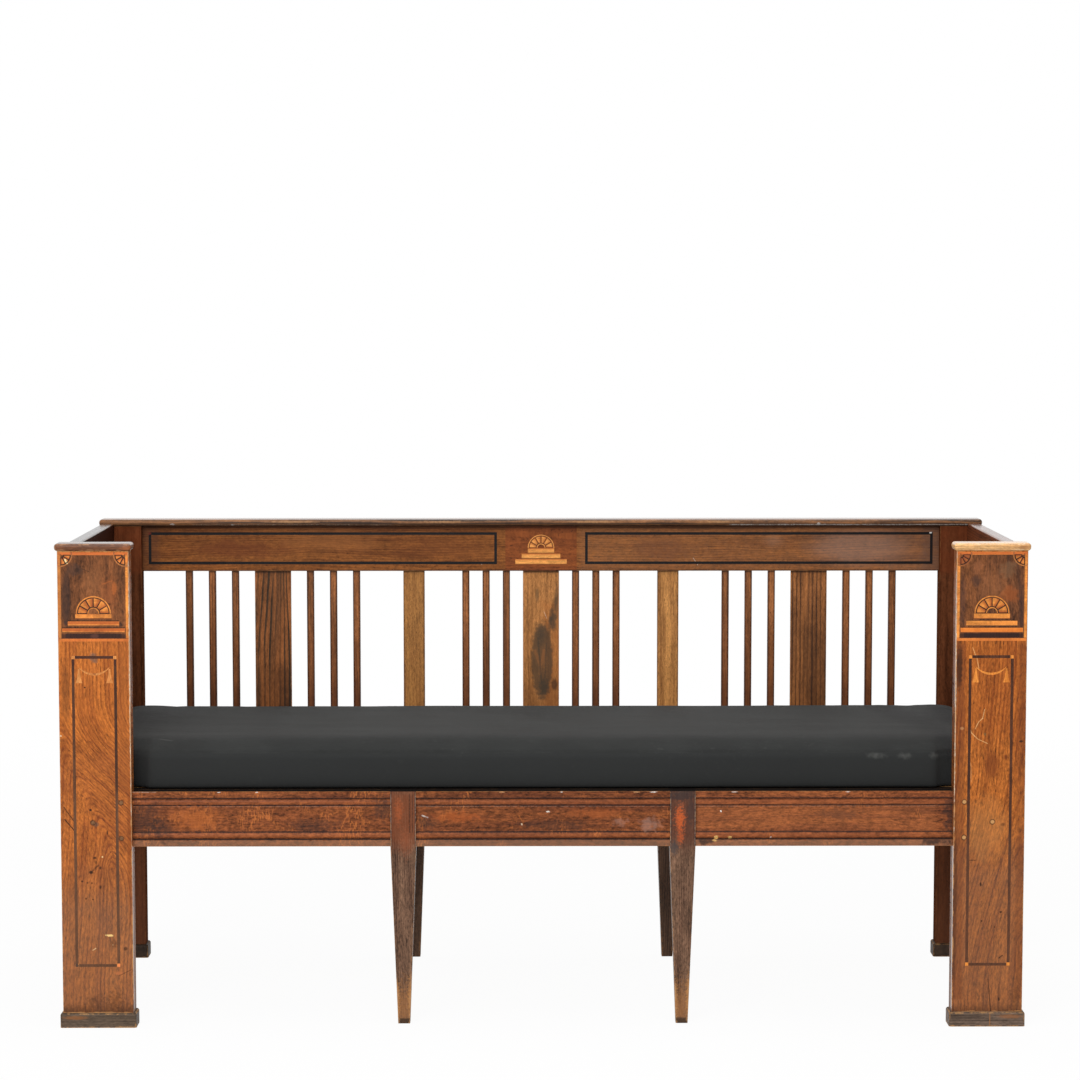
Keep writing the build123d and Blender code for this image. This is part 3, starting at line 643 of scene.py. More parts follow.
def new_material(name):
    """A material with its shader. Returns the material, its tree, its shader and its output."""
    material = bpy.data.materials.new(name)
    material.use_nodes = True
    material.node_tree.nodes.clear()
    t = Tree(material.node_tree)
    shader = t.add("ShaderNodeBsdfPrincipled")
    target = t.add("ShaderNodeOutputMaterial")
    t.feed(target.inputs["Surface"], t.wire(shader))
    return material, t, shader, target


def wood_material(name, box, f):
    """Builds one board's own material from its finish. box is the board's low and high corner."""
    grain = bpy.context.scene.settle_grain
    woods = bpy.context.scene.settle_woods
    material, t, shader, _ = new_material(name)
    place = t.place()
    swell = 0.0
    for centre, reach, amount in f.knots:
        swell = swell + t.use("Knot swell", Vector=place, Centre=centre, Reach=reach, Amount=amount).swell
    along_grain = place
    if f.axis != "Z":
        x, y, z = t.split(place)
        along_grain = t.join(y, z, x) if f.axis == "X" else t.join(x, z, y)
    drift = 0.0
    for start, end, aside, rise in f.sweeps:
        share = t.slope(t.split(along_grain)[2], start, end)
        drift = share.times(aside, drift)
        swell = share.times(rise, swell)
    oak = t.use("Oak grain", Vector=along_grain, Pith=f.pith, Cone=f.cone, Drift=drift, Swell=swell,
                Seed=f.seed, Ring_width=grain.ring_width * f.rings, Wander=f.wander,
                Pore_long=grain.pore_long * f.pore_size, Pore_wide=grain.pore_wide * f.pore_size,
                Pore_share=f.pores, Ring_contrast=f.ring_contrast, Grit=f.grit, Mottle=f.mottle,
                Light=f.light, Dark=f.dark, Pore_colour=woods.grime)
    body = oak.color
    if f.flecks:
        flecks = t.use("Ray flecks", Vector=along_grain, Seed=f.seed, Share=f.flecks).mask
        body = t.mix(flecks * 0.55, body, f.fleck_colour)
    body = paint_marks(t, place, body, f.marks)
    rough = oak.roughness
    if f.wear:
        reach = grain.wear_wide * f.wear
        if f.leg:
            wear = t.use("Leg wear", Vector=place, Middle=f.leg, Half=LEG_HALF, Toe_half=TOE_HALF,
                         Shoulder=LEG_SHOULDER, Reach=reach, Seed=f.seed).mask
        else:
            wear = t.use("Edge wear", Vector=place, Low=box[0], High=box[1], Reach=reach, Seed=f.seed).mask
        wear = wear * f.wear_strength
        body = t.mix(wear, body, f.wear_colour or woods.worn)
        rough = wear.times(0.12, rough)
    t.fill(shader, Base_Color=body, Roughness=rough + f.rough, Specular_IOR_Level=f.gloss)
    if f.shine:
        shiny = t.use("Patch", Vector=place, Low=f.shine[0], High=f.shine[1], Soft=0.0006).mask
        t.fill(shader, Coat_Weight=shiny * 0.9, Coat_Roughness=0.16)
    t.bump(shader, oak.height, 0.6 * f.bump, grain.bump_deep)
    return material


def dress(node, shared=FINISH, **own):
    """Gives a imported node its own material, in every slot that it has. own goes before what is shared."""
    finish = SimpleNamespace(**{**FINISH, **shared, **own})
    material = wood_material(node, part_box(node), finish)
    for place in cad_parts[node].material_slots:
        place.material = material


def sides(name):
    """The left and the right node of a pair, with the sign of X on that side."""
    return ((f"{name}_left", -1), (f"{name}_right", 1))


def left_post_marks(grime, dark, grey):
    """Greyed foot, checks round the swirl, scuffs and stains of the left post."""
    lint = tone(226, 190, 140)
    worm = tone(96, 82, 72)
    return [
        patch(-0.90, 0.0, -0.74, 0.24, grey, 0.72, soft=0.24, ragged=0.05, coarse=0.04, deep=0.02),
        patch(-0.90, 0.28, -0.74, 0.50, tone(150, 84, 50), 0.35, soft=0.10, ragged=0.05, coarse=0.04),
        patch(-0.90, 0.54, -0.74, 0.71, tone(236, 132, 56), 0.20, soft=0.06, ragged=0.05, coarse=0.04),
        patch(-0.776, 0.44, -0.7575, 0.71, tone(136, 74, 34), 0.40, soft=0.006, ragged=0.006, coarse=0.02),
        blot(-0.7976, 0.3624, 0.0022, 0.006, grime),
        blot(-0.8072, 0.3177, 0.002, 0.002, tone(232, 196, 140), 0.95, ragged=0.3),
        *blots(grime, (-0.8212, 0.316, 0.0045, 0.0028), (-0.8192, 0.3076, 0.003, 0.0045, 0.6),
               (-0.8112, 0.2972, 0.003, 0.004), (-0.8285, 0.289, 0.005, 0.004, 0.9)),
        scratch(-0.8285, 0.289, -0.815, 0.302, 0.0022, grime, 0.7),
        *blots(grime, (-0.8448, 0.2722, 0.003, 0.0024), (-0.8352, 0.2695, 0.0026, 0.0022),
               (-0.8271, 0.2691, 0.0022, 0.0026), (-0.8115, 0.2616, 0.0026, 0.0048),
               (-0.8383, 0.24, 0.002, 0.0026), (-0.8255, 0.2386, 0.002, 0.002)),
        blot(-0.8353, 0.6306, 0.0022, 0.0018, grime, 1.0, ragged=0.2),
        blot(-0.8278, 0.4044, 0.0034, 0.0028, grime, 1.0, ragged=0.3),
        blot(-0.818, 0.378, 0.008, 0.006, tone(96, 74, 60), 0.6),
        scratch(-0.876, 0.4093, -0.8565, 0.3809, 0.0016, grime, 0.8, broken=0.2),
        scratch(-0.875, 0.387, -0.8565, 0.3647, 0.0016, grime, 0.9, broken=0.1),
        chip(-0.8816, 0.5418, 0.0042, 0.002, tone(226, 206, 176)),
        chip(-0.7962, 0.1716, 0.0088, 0.0026, tone(240, 200, 128)),
        scratch(-0.827, 0.144, -0.8215, 0.1475, 0.0011, lint),
        blot(-0.79, 0.154, 0.0014, 0.0014, lint),
        blot(-0.7667, 0.1469, 0.0048, 0.0048, grime, 0.7),
        blot(-0.786, 0.156, 0.012, 0.010, grime, 0.35, coarse=0.006, ragged=1.2),
        *blots(grime, (-0.785, 0.05, 0.022, 0.030, 0.45), (-0.8225, 0.0498, 0.030, 0.018, 0.40),
               coarse=0.005, ragged=2.2, soft=1.0),
        patch(-0.90, 0.0, -0.74, 0.04, grime, 0.60, soft=0.022, ragged=0.020, coarse=0.006, deep=0.02),
        blot(-0.78, 0.101, 0.010, 0.004, tone(184, 108, 64), 0.6),
        scratch(-0.78, 0.096, -0.756, 0.108, 0.0014, grime, 0.5),
        blot(-0.819, 0.686, 0.009, 0.012, worm, 0.65, ragged=1.0, coarse=0.006),
        blot(-0.8147, 0.6779, 0.0045, 0.004, worm, 0.5),
        blot(-0.87, 0.625, 0.010, 0.080, grime, 0.45, coarse=0.02, ragged=1.0),
        *blots(dark, (-0.874, 0.505, 0.012, 0.035, 0.5), (-0.878, 0.445, 0.008, 0.022, 0.5),
               coarse=0.02, ragged=0.8),
        blot(-0.756, 0.33, 0.008, 0.2, dark, 0.5, coarse=0.03),
    ]


def right_post_marks(grime, dark, grey):
    """Greyed foot, pale scratches, checks and stains of the right post."""
    bare = tone(230, 176, 116)
    return [
        patch(0.74, 0.0, 0.90, 0.30, grey, 0.66, soft=0.26, ragged=0.05, coarse=0.04, deep=0.02),
        patch(0.74, 0.55, 0.90, 0.70, tone(160, 78, 28), 0.30, soft=0.10, ragged=0.04, coarse=0.04),
        blot(0.8123, 0.3676, 0.050, 0.075, tone(192, 134, 78), 0.26, coarse=0.03, ragged=0.9),
        patch(0.868, 0.05, 0.89, 0.71, tone(112, 60, 32), 0.45, soft=0.012, ragged=0.010, coarse=0.02),
        patch(0.745, 0.05, 0.7715, 0.71, tone(112, 60, 34), 0.50, soft=0.008, ragged=0.010, coarse=0.02),
        blot(0.76, 0.67, 0.007, 0.060, grime, coarse=0.008, ragged=1.0),
        blot(0.8212, 0.4865, 0.016, 0.030, dark, 0.7, coarse=0.02, ragged=0.9),
        blot(0.8466, 0.5008, 0.0042, 0.0065, tone(92, 40, 22), 0.7),
        blot(0.8746, 0.5299, 0.0052, 0.0035, grime, 0.9),
        blot(0.8083, 0.5431, 0.0028, 0.0038, tone(110, 84, 50)),
        blot(0.7659, 0.5538, 0.005, 0.004, tone(206, 150, 100), 0.5),
        *trail(tone(226, 170, 110), (0.7838, 0.7024), (0.7915, 0.683, 0.0010), (0.7956, 0.664, 0.0010)),
        *trail(bare, (0.807, 0.5888), (0.8034, 0.5721, 0.0010), (0.796, 0.5655, 0.0012),
               (0.7901, 0.5527, 0.0011)),
        *trail(bare, (0.7792, 0.5564), (0.784, 0.545, 0.0010), (0.7945, 0.5345, 0.0011),
               (0.8129, 0.5259, 0.0010)),
        scratch(0.7786, 0.506, 0.7833, 0.484, 0.0009, tone(222, 160, 104), 0.7),
        scratch(0.7833, 0.484, 0.7838, 0.4553, 0.0009, tone(222, 160, 104), 0.6),
        blot(0.8434, 0.3761, 0.006, 0.0045, grime, 0.5),
        scratch(0.7815, 0.3097, 0.7935, 0.3095, 0.0016, grime, 0.7),
        *blots(grime, (0.8037, 0.2654, 0.0022, 0.005, 0.9), (0.8415, 0.2131, 0.0032, 0.0026, 0.9),
               (0.8064, 0.1964, 0.002, 0.002, 0.9), (0.8305, 0.1851, 0.0018, 0.0018, 0.9)),
        scratch(0.839, 0.127, 0.845, 0.1318, 0.0018, grime, 0.9),
        scratch(0.8196, 0.0879, 0.8252, 0.027, 0.0011, grime, 0.85, broken=0.2),
        scratch(0.8397, 0.0785, 0.8404, 0.0279, 0.0009, grime, 0.6),
        blot(0.84, 0.05, 0.0022, 0.005, grime, 0.9),
        patch(0.74, 0.0, 0.90, 0.036, grime, 0.5, soft=0.024, ragged=0.020, coarse=0.006, deep=0.02),
        blot(0.87, 0.05, 0.016, 0.034, grime, 0.35, coarse=0.005, ragged=2.0, soft=1.0),
        blot(0.756, 0.24, 0.006, 0.24, grime, 0.5, coarse=0.02, ragged=1.0),
    ]


class SETTLE_OT_front_posts(bpy.types.Operator):
    """Finish the two plank posts: a swirling figure on the left one, straighter grain on the right one"""
    bl_idname = "settle.front_posts"
    bl_label = "Front posts"

    def execute(self, context):
        woods = context.scene.settle_woods
        grime, dark, grey = woods.grime, woods.post_dark, tone(118, 90, 72)
        shared = dict(light=woods.post_light, dark=dark, wear=0.7, pores=0.55, pore_size=1.7, mottle=0.36,
                      grit=0.34, rings=1.25)
        left = dict(
            shared, seed=3.2, pith=(-0.792, FRONT_Y + 0.010, 0.0), wander=0.016, ring_contrast=0.64,
            sweeps=((0.28, 0.60, -0.108, 0.0), (0.25, 0.62, 0.0, 0.130), (0.05, 0.24, 0.010, 0.0)),
            knots=(((-0.7916, FRONT_Y, 0.2956), (0.011, 0.06, 0.022), -0.012),
                   ((-0.812, FRONT_Y, 0.340), (0.018, 0.06, 0.030), 0.004)),
            marks=left_post_marks(grime, dark, grey))
        right = dict(
            shared, seed=8.7, pith=(0.888, FRONT_Y + 0.024, 0.0), pores=0.62, ring_contrast=0.68,
            sweeps=((0.04, 0.50, 0.0, 0.080), (0.45, 0.70, 0.0, 0.012)),
            knots=(((0.880, FRONT_Y, 0.150), (0.014, 0.06, 0.030), -0.010),
                   ((0.870, FRONT_Y, 0.225), (0.016, 0.06, 0.016), 0.004)),
            marks=right_post_marks(grime, dark, grey))
        inner, back = POST_LOW[0], POST_HIGH[1]
        for sign, finish in ((-1, left), (1, right)):
            marks = [ring(sign * x, z, PEG_RADIUS + 0.0006, 0.0016, grime, 0.75) for x, z in PEG_PLACES]
            # the rubbed inner arris, also a painted highlight, and the painted shade and the shine on the
            # post's inner side
            marks.append(blot(sign * inner, 0.62, 0.0019, 0.34, tone(232, 210, 182), 0.9, coarse=0.008,
                              ragged=1.1, deep=0.004))
            edge = sorted((sign * inner, sign * (inner + 0.0004)))
            marks.append(patch(edge[0] - 0.002, 0.0, edge[1], 1.0, tone(60, 40, 30), 0.8, y=back,
                               deep=0.025, soft=0.004))
            finish["marks"] += marks
            finish["shine"] = ((edge[0] - 0.001, FRONT_Y, 0.0), (edge[1], back - 0.025, 1.0))
        dress("front_post_left", left)
        dress("front_post_right", right)
        return {"FINISHED"}


class SETTLE_OT_caps_and_shoes(bpy.types.Operator):
    """Finish the caps on the front posts and the shoes under all four posts"""
    bl_idname = "settle.caps_and_shoes"
    bl_label = "Caps and shoes"

    def execute(self, context):
        woods = context.scene.settle_woods
        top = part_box("front_cap_right")[1][2]
        cap = dict(axis="X", pith=(-0.30, 0.80, 0.0), rings=0.8, gloss=0.3, mottle=0.4, wear_strength=0.6,
                   shine=((-1.0, -1.0, top - 0.0030), (1.0, 1.0, top + 0.001)))
        dress("front_cap_left", cap, light=woods.cap_dark, dark=tone(66, 40, 26), seed=1.4, wear=1.3,
              ring_contrast=0.9, wear_colour=tone(176, 128, 88), marks=[
                  blot(-0.755, 0.884, 0.016, 0.008, tone(164, 92, 46), 0.5, CAP_Y, coarse=0.006,
                       ragged=1.2),
                  patch(-1.0, 0.870, 0.0, 0.8822, woods.grime, 0.55, CAP_Y, soft=0.003, ragged=0.004)])
        dress("front_cap_right", cap, light=woods.cap_light, dark=tone(170, 116, 68), seed=5.9, wear=1.2,
              wear_colour=tone(236, 206, 166), ring_contrast=0.5, pores=0.3, marks=[
                  patch(0.0, 0.870, 1.0, 0.8816, tone(112, 66, 36), 0.6, CAP_Y, soft=0.002, ragged=0.003),
                  blot(0.875, 0.886, 0.012, 0.005, tone(150, 92, 50), 0.5, CAP_Y)])
        shoe = dict(light=woods.shoe, dark=tone(52, 42, 34), axis="X", pith=(-0.31, 0.10, 0.0), wear=1.2,
                    wear_colour=tone(184, 138, 88), wear_strength=0.75, rough=0.08, ring_contrast=0.4,
                    mottle=0.5)
        for node, sign in sides("front_foot"):
            dress(node, shoe, light=tone(108 + 12 * sign, 90 + 10 * sign, 76 + 10 * sign), seed=2.0 + sign,
                  marks=[blot(sign * 0.86, 0.019, 0.03, 0.005, tone(146, 92, 50), 0.6, -0.305,
                              coarse=0.006),
                         scratch(0.8228, 0.024, 0.8232, 0.003, 0.0014, tone(170, 112, 62), 0.7, -0.3045)])
        for node, sign in sides("rear_foot"):
            dress(node, shoe, seed=6.0 + sign, light=tone(72, 56, 44), dark=tone(46, 36, 30),
                  wear_strength=0.6)
        return {"FINISHED"}


# The line of old glue in the marquetry, and the three steps under each sunburst
DARK_LINE = tone(46, 28, 20)
STEP_LOWS = (0.0404, 0.0276, 0.0152)
STEP_TOPS = (0.0500, 0.0368, 0.0240)
STEP_HALVES = (0.0329, 0.0466, 0.0570)
LOWER_STEPS = tuple(zip(STEP_LOWS[1:], STEP_TOPS[1:], STEP_HALVES[1:]))


def post_fans(sign, shade):
    """The half sunburst and the two corner fans of one post."""
    middle = sign * POST_MID
    marks = fan((middle, FRONT_Y, PANEL_LOW + BURST_UP), *BURST_RADII, (shade, 0.75), DARK_LINE, Up=1.0,
                Side=0.0)
    for side in (-1, 1):
        marks += fan((middle + side * BORDER_HALF, FRONT_Y, BORDER_TOP), *CORNER_RADII, (shade, 0.75),
                     DARK_LINE, Up=-1.0, Side=-1.0 * side)
    return marks


def step_shadows(sign, over, strength, soft):
    """The dark line of glue over the lower two steps, in the veneer."""
    return [patch(sign * POST_MID - half, PANEL_LOW + top - 0.0006, sign * POST_MID + half,
                  PANEL_LOW + top + over, DARK_LINE, strength, soft=soft) for _, top, half in LOWER_STEPS]


def left_veneer_marks(grime):
    return post_fans(-1, DARK_LINE) + [
        blot(-0.818, 0.825, 0.030, 0.044, tone(152, 98, 60), 0.35, coarse=0.006, ragged=1.4, soft=1.0),
        blot(-0.790, 0.800, 0.024, 0.050, tone(150, 84, 46), 0.5, coarse=0.006, ragged=1.8, soft=0.9),
        blot(-0.780, 0.812, 0.006, 0.016, tone(176, 96, 46), 0.6, coarse=0.004, ragged=1.6),
        blot(-0.868, 0.790, 0.012, 0.070, tone(58, 42, 36), 0.7, coarse=0.02),
        blot(-0.852, 0.846, 0.020, 0.016, tone(74, 52, 42), 0.6, ragged=1.2),
        *blots(grime, (-0.847, 0.845, 0.006, 0.006, 0.6), (-0.842, 0.833, 0.004, 0.004, 0.6),
               (-0.864, 0.799, 0.005, 0.004, 0.6), (-0.7905, 0.783, 0.005, 0.003, 0.7)),
        blot(-0.868, 0.749, 0.006, 0.006, tone(40, 36, 38), 0.5, coarse=0.004),
        blot(-0.769, 0.7455, 0.006, 0.006, tone(36, 30, 30), 0.7, coarse=0.004),
        patch(-0.90, 0.718, -0.70, 0.7285, tone(52, 32, 28), 0.7),
        scratch(-0.838, 0.848, -0.824, 0.842, 0.0012, grime, 0.7),
        scratch(-0.801, 0.820, -0.783, 0.826, 0.0012, tone(170, 92, 44), 0.6),
    ] + step_shadows(-1, 0.0022, 0.7, 0.0012)


def right_veneer_marks(grime):
    return post_fans(1, DARK_LINE) + [
        scratch(0.813, 0.8685, 0.8139, 0.7972, 0.0010, grime, 0.9, broken=0.1),
        blot(0.846, 0.845, 0.018, 0.022, tone(120, 88, 62), 0.5, coarse=0.008, ragged=1.6),
        blot(0.788, 0.825, 0.012, 0.014, tone(58, 42, 38), 0.6, coarse=0.008, ragged=1.2),
        blot(0.850, 0.800, 0.020, 0.020, tone(160, 84, 40), 0.50, ragged=1.4),
        blot(0.792, 0.850, 0.014, 0.016, tone(152, 94, 60), 0.45, coarse=0.006, ragged=1.6),
        blot(0.818, 0.815, 0.034, 0.050, tone(162, 102, 62), 0.40, coarse=0.006, ragged=1.4, soft=1.0),
        *blots(tone(66, 46, 42), (0.764, 0.790, 0.010, 0.070, 0.55), (0.873, 0.780, 0.008, 0.060, 0.55),
               coarse=0.008, ragged=0.9, soft=0.9),
        patch(0.70, 0.718, 0.90, 0.7285, tone(52, 32, 28), 0.7),
    ] + step_shadows(1, 0.0016, 0.6, 0.001)


def satinwood_marks(sign):
    """Scorched and dirty edges of the steps, the border and the fans of one post."""
    x = sign * POST_MID
    if sign < 0:
        marks = [patch(x - half, PANEL_LOW + low + 0.004, x + half, PANEL_LOW + top + 0.001,
                       tone(168, 78, 32), 0.75, soft=0.0035, ragged=0.002, coarse=0.006)
                 for low, top, half in LOWER_STEPS]
        marks.append(patch(x - 0.032, PANEL_LOW + 0.0398, x + 0.032, PANEL_LOW + 0.0424, tone(150, 70, 30),
                           soft=0.0015))
    else:
        marks = [patch(x - 0.057, PANEL_LOW + 0.015, x + 0.057, PANEL_LOW + 0.0245, tone(226, 116, 36),
                       0.55)]
    dirty = 0.002 if sign < 0 else 0.001
    marks += [patch(x - half, PANEL_LOW + low - 0.001, x + half, PANEL_LOW + low + dirty, DARK_LINE, 0.8,
                    soft=0.001) for low, half in zip(STEP_LOWS, STEP_HALVES)]
    marks += [
        patch(x - 0.08, PANEL_LOW - 0.001, x + 0.08, PANEL_LOW + 0.0056, tone(206, 104, 42), 0.45,
              soft=0.001, ragged=0.002, coarse=0.006),
        patch(x - 0.08, PANEL_LOW + 0.0047, x + 0.08, PANEL_LOW + 0.0062, DARK_LINE, 0.35, soft=0.001),
        patch(x - 0.08, 0.8732, x + 0.08, 0.880, tone(196, 92, 42), 0.7, soft=0.001, ragged=0.002,
              coarse=0.006)]
    for side in (-1, 1):
        # old glue and dirt along the border's inner edge and round the corner fans
        inner = x + side * BORDER_HALF
        marks += [patch(inner - 0.0009, 0.72, inner + 0.0009, 0.875, DARK_LINE, soft=0.001),
                  ring(inner, BORDER_TOP, 0.0199, 0.0022, tone(112, 76, 52), 0.75)]
    marks += post_fans(sign, tone(150, 66, 26))
    if sign > 0:
        marks.append(patch(0.755, 0.8535, 0.7785, 0.8735, tone(120, 58, 36), 0.62, soft=0.003, ragged=0.005,
                           coarse=0.006))
    else:
        marks += [scratch(-0.868, 0.864, -0.865, 0.8585, 0.0026, tone(255, 236, 176), 1.0),
                  patch(-0.883, 0.715, -0.8765, 0.878, tone(150, 92, 48), 0.55, soft=0.002, ragged=0.012)]
    return marks


class SETTLE_OT_post_marquetry(bpy.types.Operator):
    """Finish the veneers, the satinwood and the dark lines that are let into the front posts"""
    bl_idname = "settle.post_marquetry"
    bl_label = "Post marquetry"

    def execute(self, context):
        woods = context.scene.settle_woods
        veneer = dict(light=woods.veneer, dark=tone(78, 46, 28), wear=0, rings=2.6, wander=0.06,
                      ring_contrast=0.42, pores=0.35, mottle=0.72, grit=0.34)
        dress("post_panel_veneer_left", veneer, seed=12.5, pith=(-0.83, FRONT_Y + 0.05, 0.8),
              marks=left_veneer_marks(woods.grime))
        dress("post_panel_veneer_right", veneer, seed=17.1, pith=(0.80, FRONT_Y + 0.05, 0.8),
              dark=tone(66, 42, 32), ring_contrast=0.60, marks=right_veneer_marks(woods.grime))
        for node, sign in sides("post_panel_satinwood"):
            dress(node, light=woods.satinwood, dark=tone(196, 108, 46), wear=0, rings=0.5, pores=0.2,
                  pore_size=0.5, seed=3.3 + sign, pith=(-0.1, 0.7, 0.0), axis="X", ring_contrast=0.4,
                  marks=satinwood_marks(sign), gloss=0.2, wander=0.004, mottle=0.5)
        line = dict(wear=0, pores=0.4, pore_size=0.7, ring_contrast=0.5, mottle=0.6)
        dress("post_ebony_stringing_left", line, light=tone(96, 62, 42), dark=tone(70, 46, 34), seed=21.0,
              marks=[patch(-0.90, 0.05, -0.74, 0.42, tone(112, 78, 56), soft=0.10, ragged=0.04),
                     patch(-0.90, 0.670, -0.74, 0.700, tone(66, 36, 30), 0.7, soft=0.004),
                     patch(-0.785, 0.44, -0.77, 0.66, tone(46, 28, 22), 0.8, soft=0.05, deep=0.01),
                     patch(-0.90, 0.55, -0.85, 0.70, tone(60, 34, 28), soft=0.06, deep=0.01),
                     patch(-0.90, 0.70, -0.74, 0.75, tone(44, 26, 26), 0.8),
                     blot(-0.816, 0.725, 0.010, 0.006, tone(96, 60, 50), 0.6, coarse=0.006)])
        dress("post_ebony_stringing_right", line, light=tone(88, 52, 34), dark=tone(58, 38, 30), seed=24.0,
              marks=[patch(0.77, 0.44, 0.79, 0.67, tone(48, 30, 26), 0.7, soft=0.05, deep=0.01),
                     patch(0.74, 0.05, 0.90, 0.34, tone(110, 74, 54), 0.5, soft=0.10, ragged=0.04),
                     patch(0.74, 0.70, 0.90, 0.75, tone(40, 26, 26), 0.8)])
        dress("post_swag_inlay_left", light=tone(206, 136, 74), dark=tone(184, 110, 54), wear=0, pores=0.3,
              pore_size=0.6, seed=28.0, marks=[
                  blot(-0.818, 0.6565, 0.004, 0.004, tone(120, 62, 36), 0.6),
                  blot(-0.859, 0.115, 0.006, 0.006, tone(84, 62, 50), 1.0, soft=0.1, ragged=0.1),
                  blot(-0.777, 0.115, 0.006, 0.006, tone(236, 134, 78), 0.9, soft=0.3, ragged=0.2)])
        dress("post_swag_inlay_right", light=tone(224, 140, 62), dark=tone(206, 118, 44), wear=0, pores=0.2,
              pore_size=0.6, seed=30.0)
        return {"FINISHED"}


class SETTLE_OT_pegs(bpy.types.Operator):
    """Finish the end grain of the pegs and plugs, greyer on the left post than on the right one"""
    bl_idname = "settle.pegs"
    bl_label = "Pegs"

    def execute(self, context):
        grime = context.scene.settle_woods.grime
        marks = [blot(0.8, 0.38, 0.12, 0.20, tone(198, 146, 92), 1.0, deep=0.05, soft=0.1, ragged=0.0)]
        for sign in (-1, 1):
            marks += [ring(sign * x, z, PEG_RADIUS, 0.0014, grime, 0.8) for x, z in PEG_PLACES]
        dress("frame_pegs", light=tone(132, 92, 58), dark=tone(96, 68, 48), wear=0, axis="Y", rings=0.4,
              pores=0.7, pore_size=0.6, seed=4.0, marks=marks)
        return {"FINISHED"}


# The shade under the back's cap rail
UNDER_CAP = tone(70, 38, 22)


def frieze_marks(face, grime):
    """Stains, hazy stretches and scratches of the frieze, whose right half is paler."""
    marks = [
        *patches(tone(74, 46, 36), (-0.82, 0.78, -0.772, 0.89), (0.772, 0.78, 0.82, 0.89), soft=0.02,
                 ragged=0.01),
        scratch(-0.124, 0.806, -0.1196, 0.8012, 0.0010, tone(220, 200, 180)),
        scratch(0.3075, 0.8139, 0.3167, 0.7997, 0.0010, tone(206, 180, 160)),
    ]
    for x, z, wide, high, shown, strength in (
            (-0.61, 0.832, 0.13, 0.024, (104, 50, 26), 0.5), (-0.20, 0.834, 0.14, 0.03, (112, 60, 30), 0.4),
            (-0.42, 0.850, 0.12, 0.03, (160, 100, 54), 0.4), (0.24, 0.834, 0.08, 0.03, (104, 56, 30), 0.5)):
        marks.append(blot(x, z, wide, high, tone(*shown), strength, coarse=0.03, ragged=1.2))
    marks += [
        blot(0.64, 0.836, 0.13, 0.052, tone(186, 160, 148), 0.24, soft=0.7, coarse=0.02, ragged=0.3),
        blot(0.47, 0.850, 0.03, 0.022, tone(190, 150, 124), 0.18, soft=1.0, coarse=0.02),
        patch(0.70, 0.78, 0.90, 0.89, tone(110, 92, 86), 0.35, soft=0.06, ragged=0.02),
        patch(-0.80, 0.79, -0.08, 0.89, tone(92, 46, 18), 0.16, soft=0.03, ragged=0.02),
        patch(0.08, 0.79, 0.80, 0.89, tone(176, 136, 108), 0.15, soft=0.03, ragged=0.02),
        patch(-0.9, 0.8745, 0.9, 0.89, UNDER_CAP, soft=0.004),
        patch(-0.9, 0.78, 0.9, 0.7905, grime, ragged=0.001),
    ]
    return on_face(face, marks)


def cap_rail_marks(face, grime):
    """A darker underside, dark and pale stretches, and painted glints along the upper edge."""
    glint, dim_glint = tone(226, 224, 220), tone(190, 176, 160)
    long = dict(coarse=0.006, ragged=1.6, soft=0.9)
    return on_face(face, [
        patch(-1.0, 0.870, 1.0, 0.8822, grime, 0.75, deep=0.02, soft=0.003, ragged=0.004),
        # painted highlights: glinting lines and spots along the rail's edge
        scratch(-0.70, 0.883, -0.30, 0.883, 0.0014, dim_glint, 0.7, broken=1.0),
        scratch(0.38, 0.883, 0.86, 0.883, 0.0020, glint, 0.85, broken=0.9),
        scratch(-0.86, 0.881, -0.78, 0.881, 0.0012, dim_glint, 0.7, broken=0.8),
        chip(-0.74, 0.8845, 0.005, 0.0022, glint, strength=0.6),
        chip(-0.62, 0.8835, 0.004, 0.0020, glint, strength=0.5),
        chip(0.558, 0.8850, 0.004, 0.0028, glint, strength=0.7),
        *[blot(x, 0.8865, wide, 0.0045, tone(44, 30, 22), 0.65, **long) for x, wide in (
            (-0.64, 0.06), (-0.35, 0.10), (-0.05, 0.08), (0.24, 0.07), (0.46, 0.09), (0.70, 0.10))],
        patch(-1.0, 0.87, 1.0, 0.8862, tone(56, 36, 24), 0.45, ragged=0.004, coarse=0.012),
        *[blot(x, 0.889, wide, 0.003, tone(186, 138, 92), 0.55, **long) for x, wide in (
            (-0.50, 0.07), (-0.20, 0.06), (0.10, 0.07), (0.36, 0.05))]])


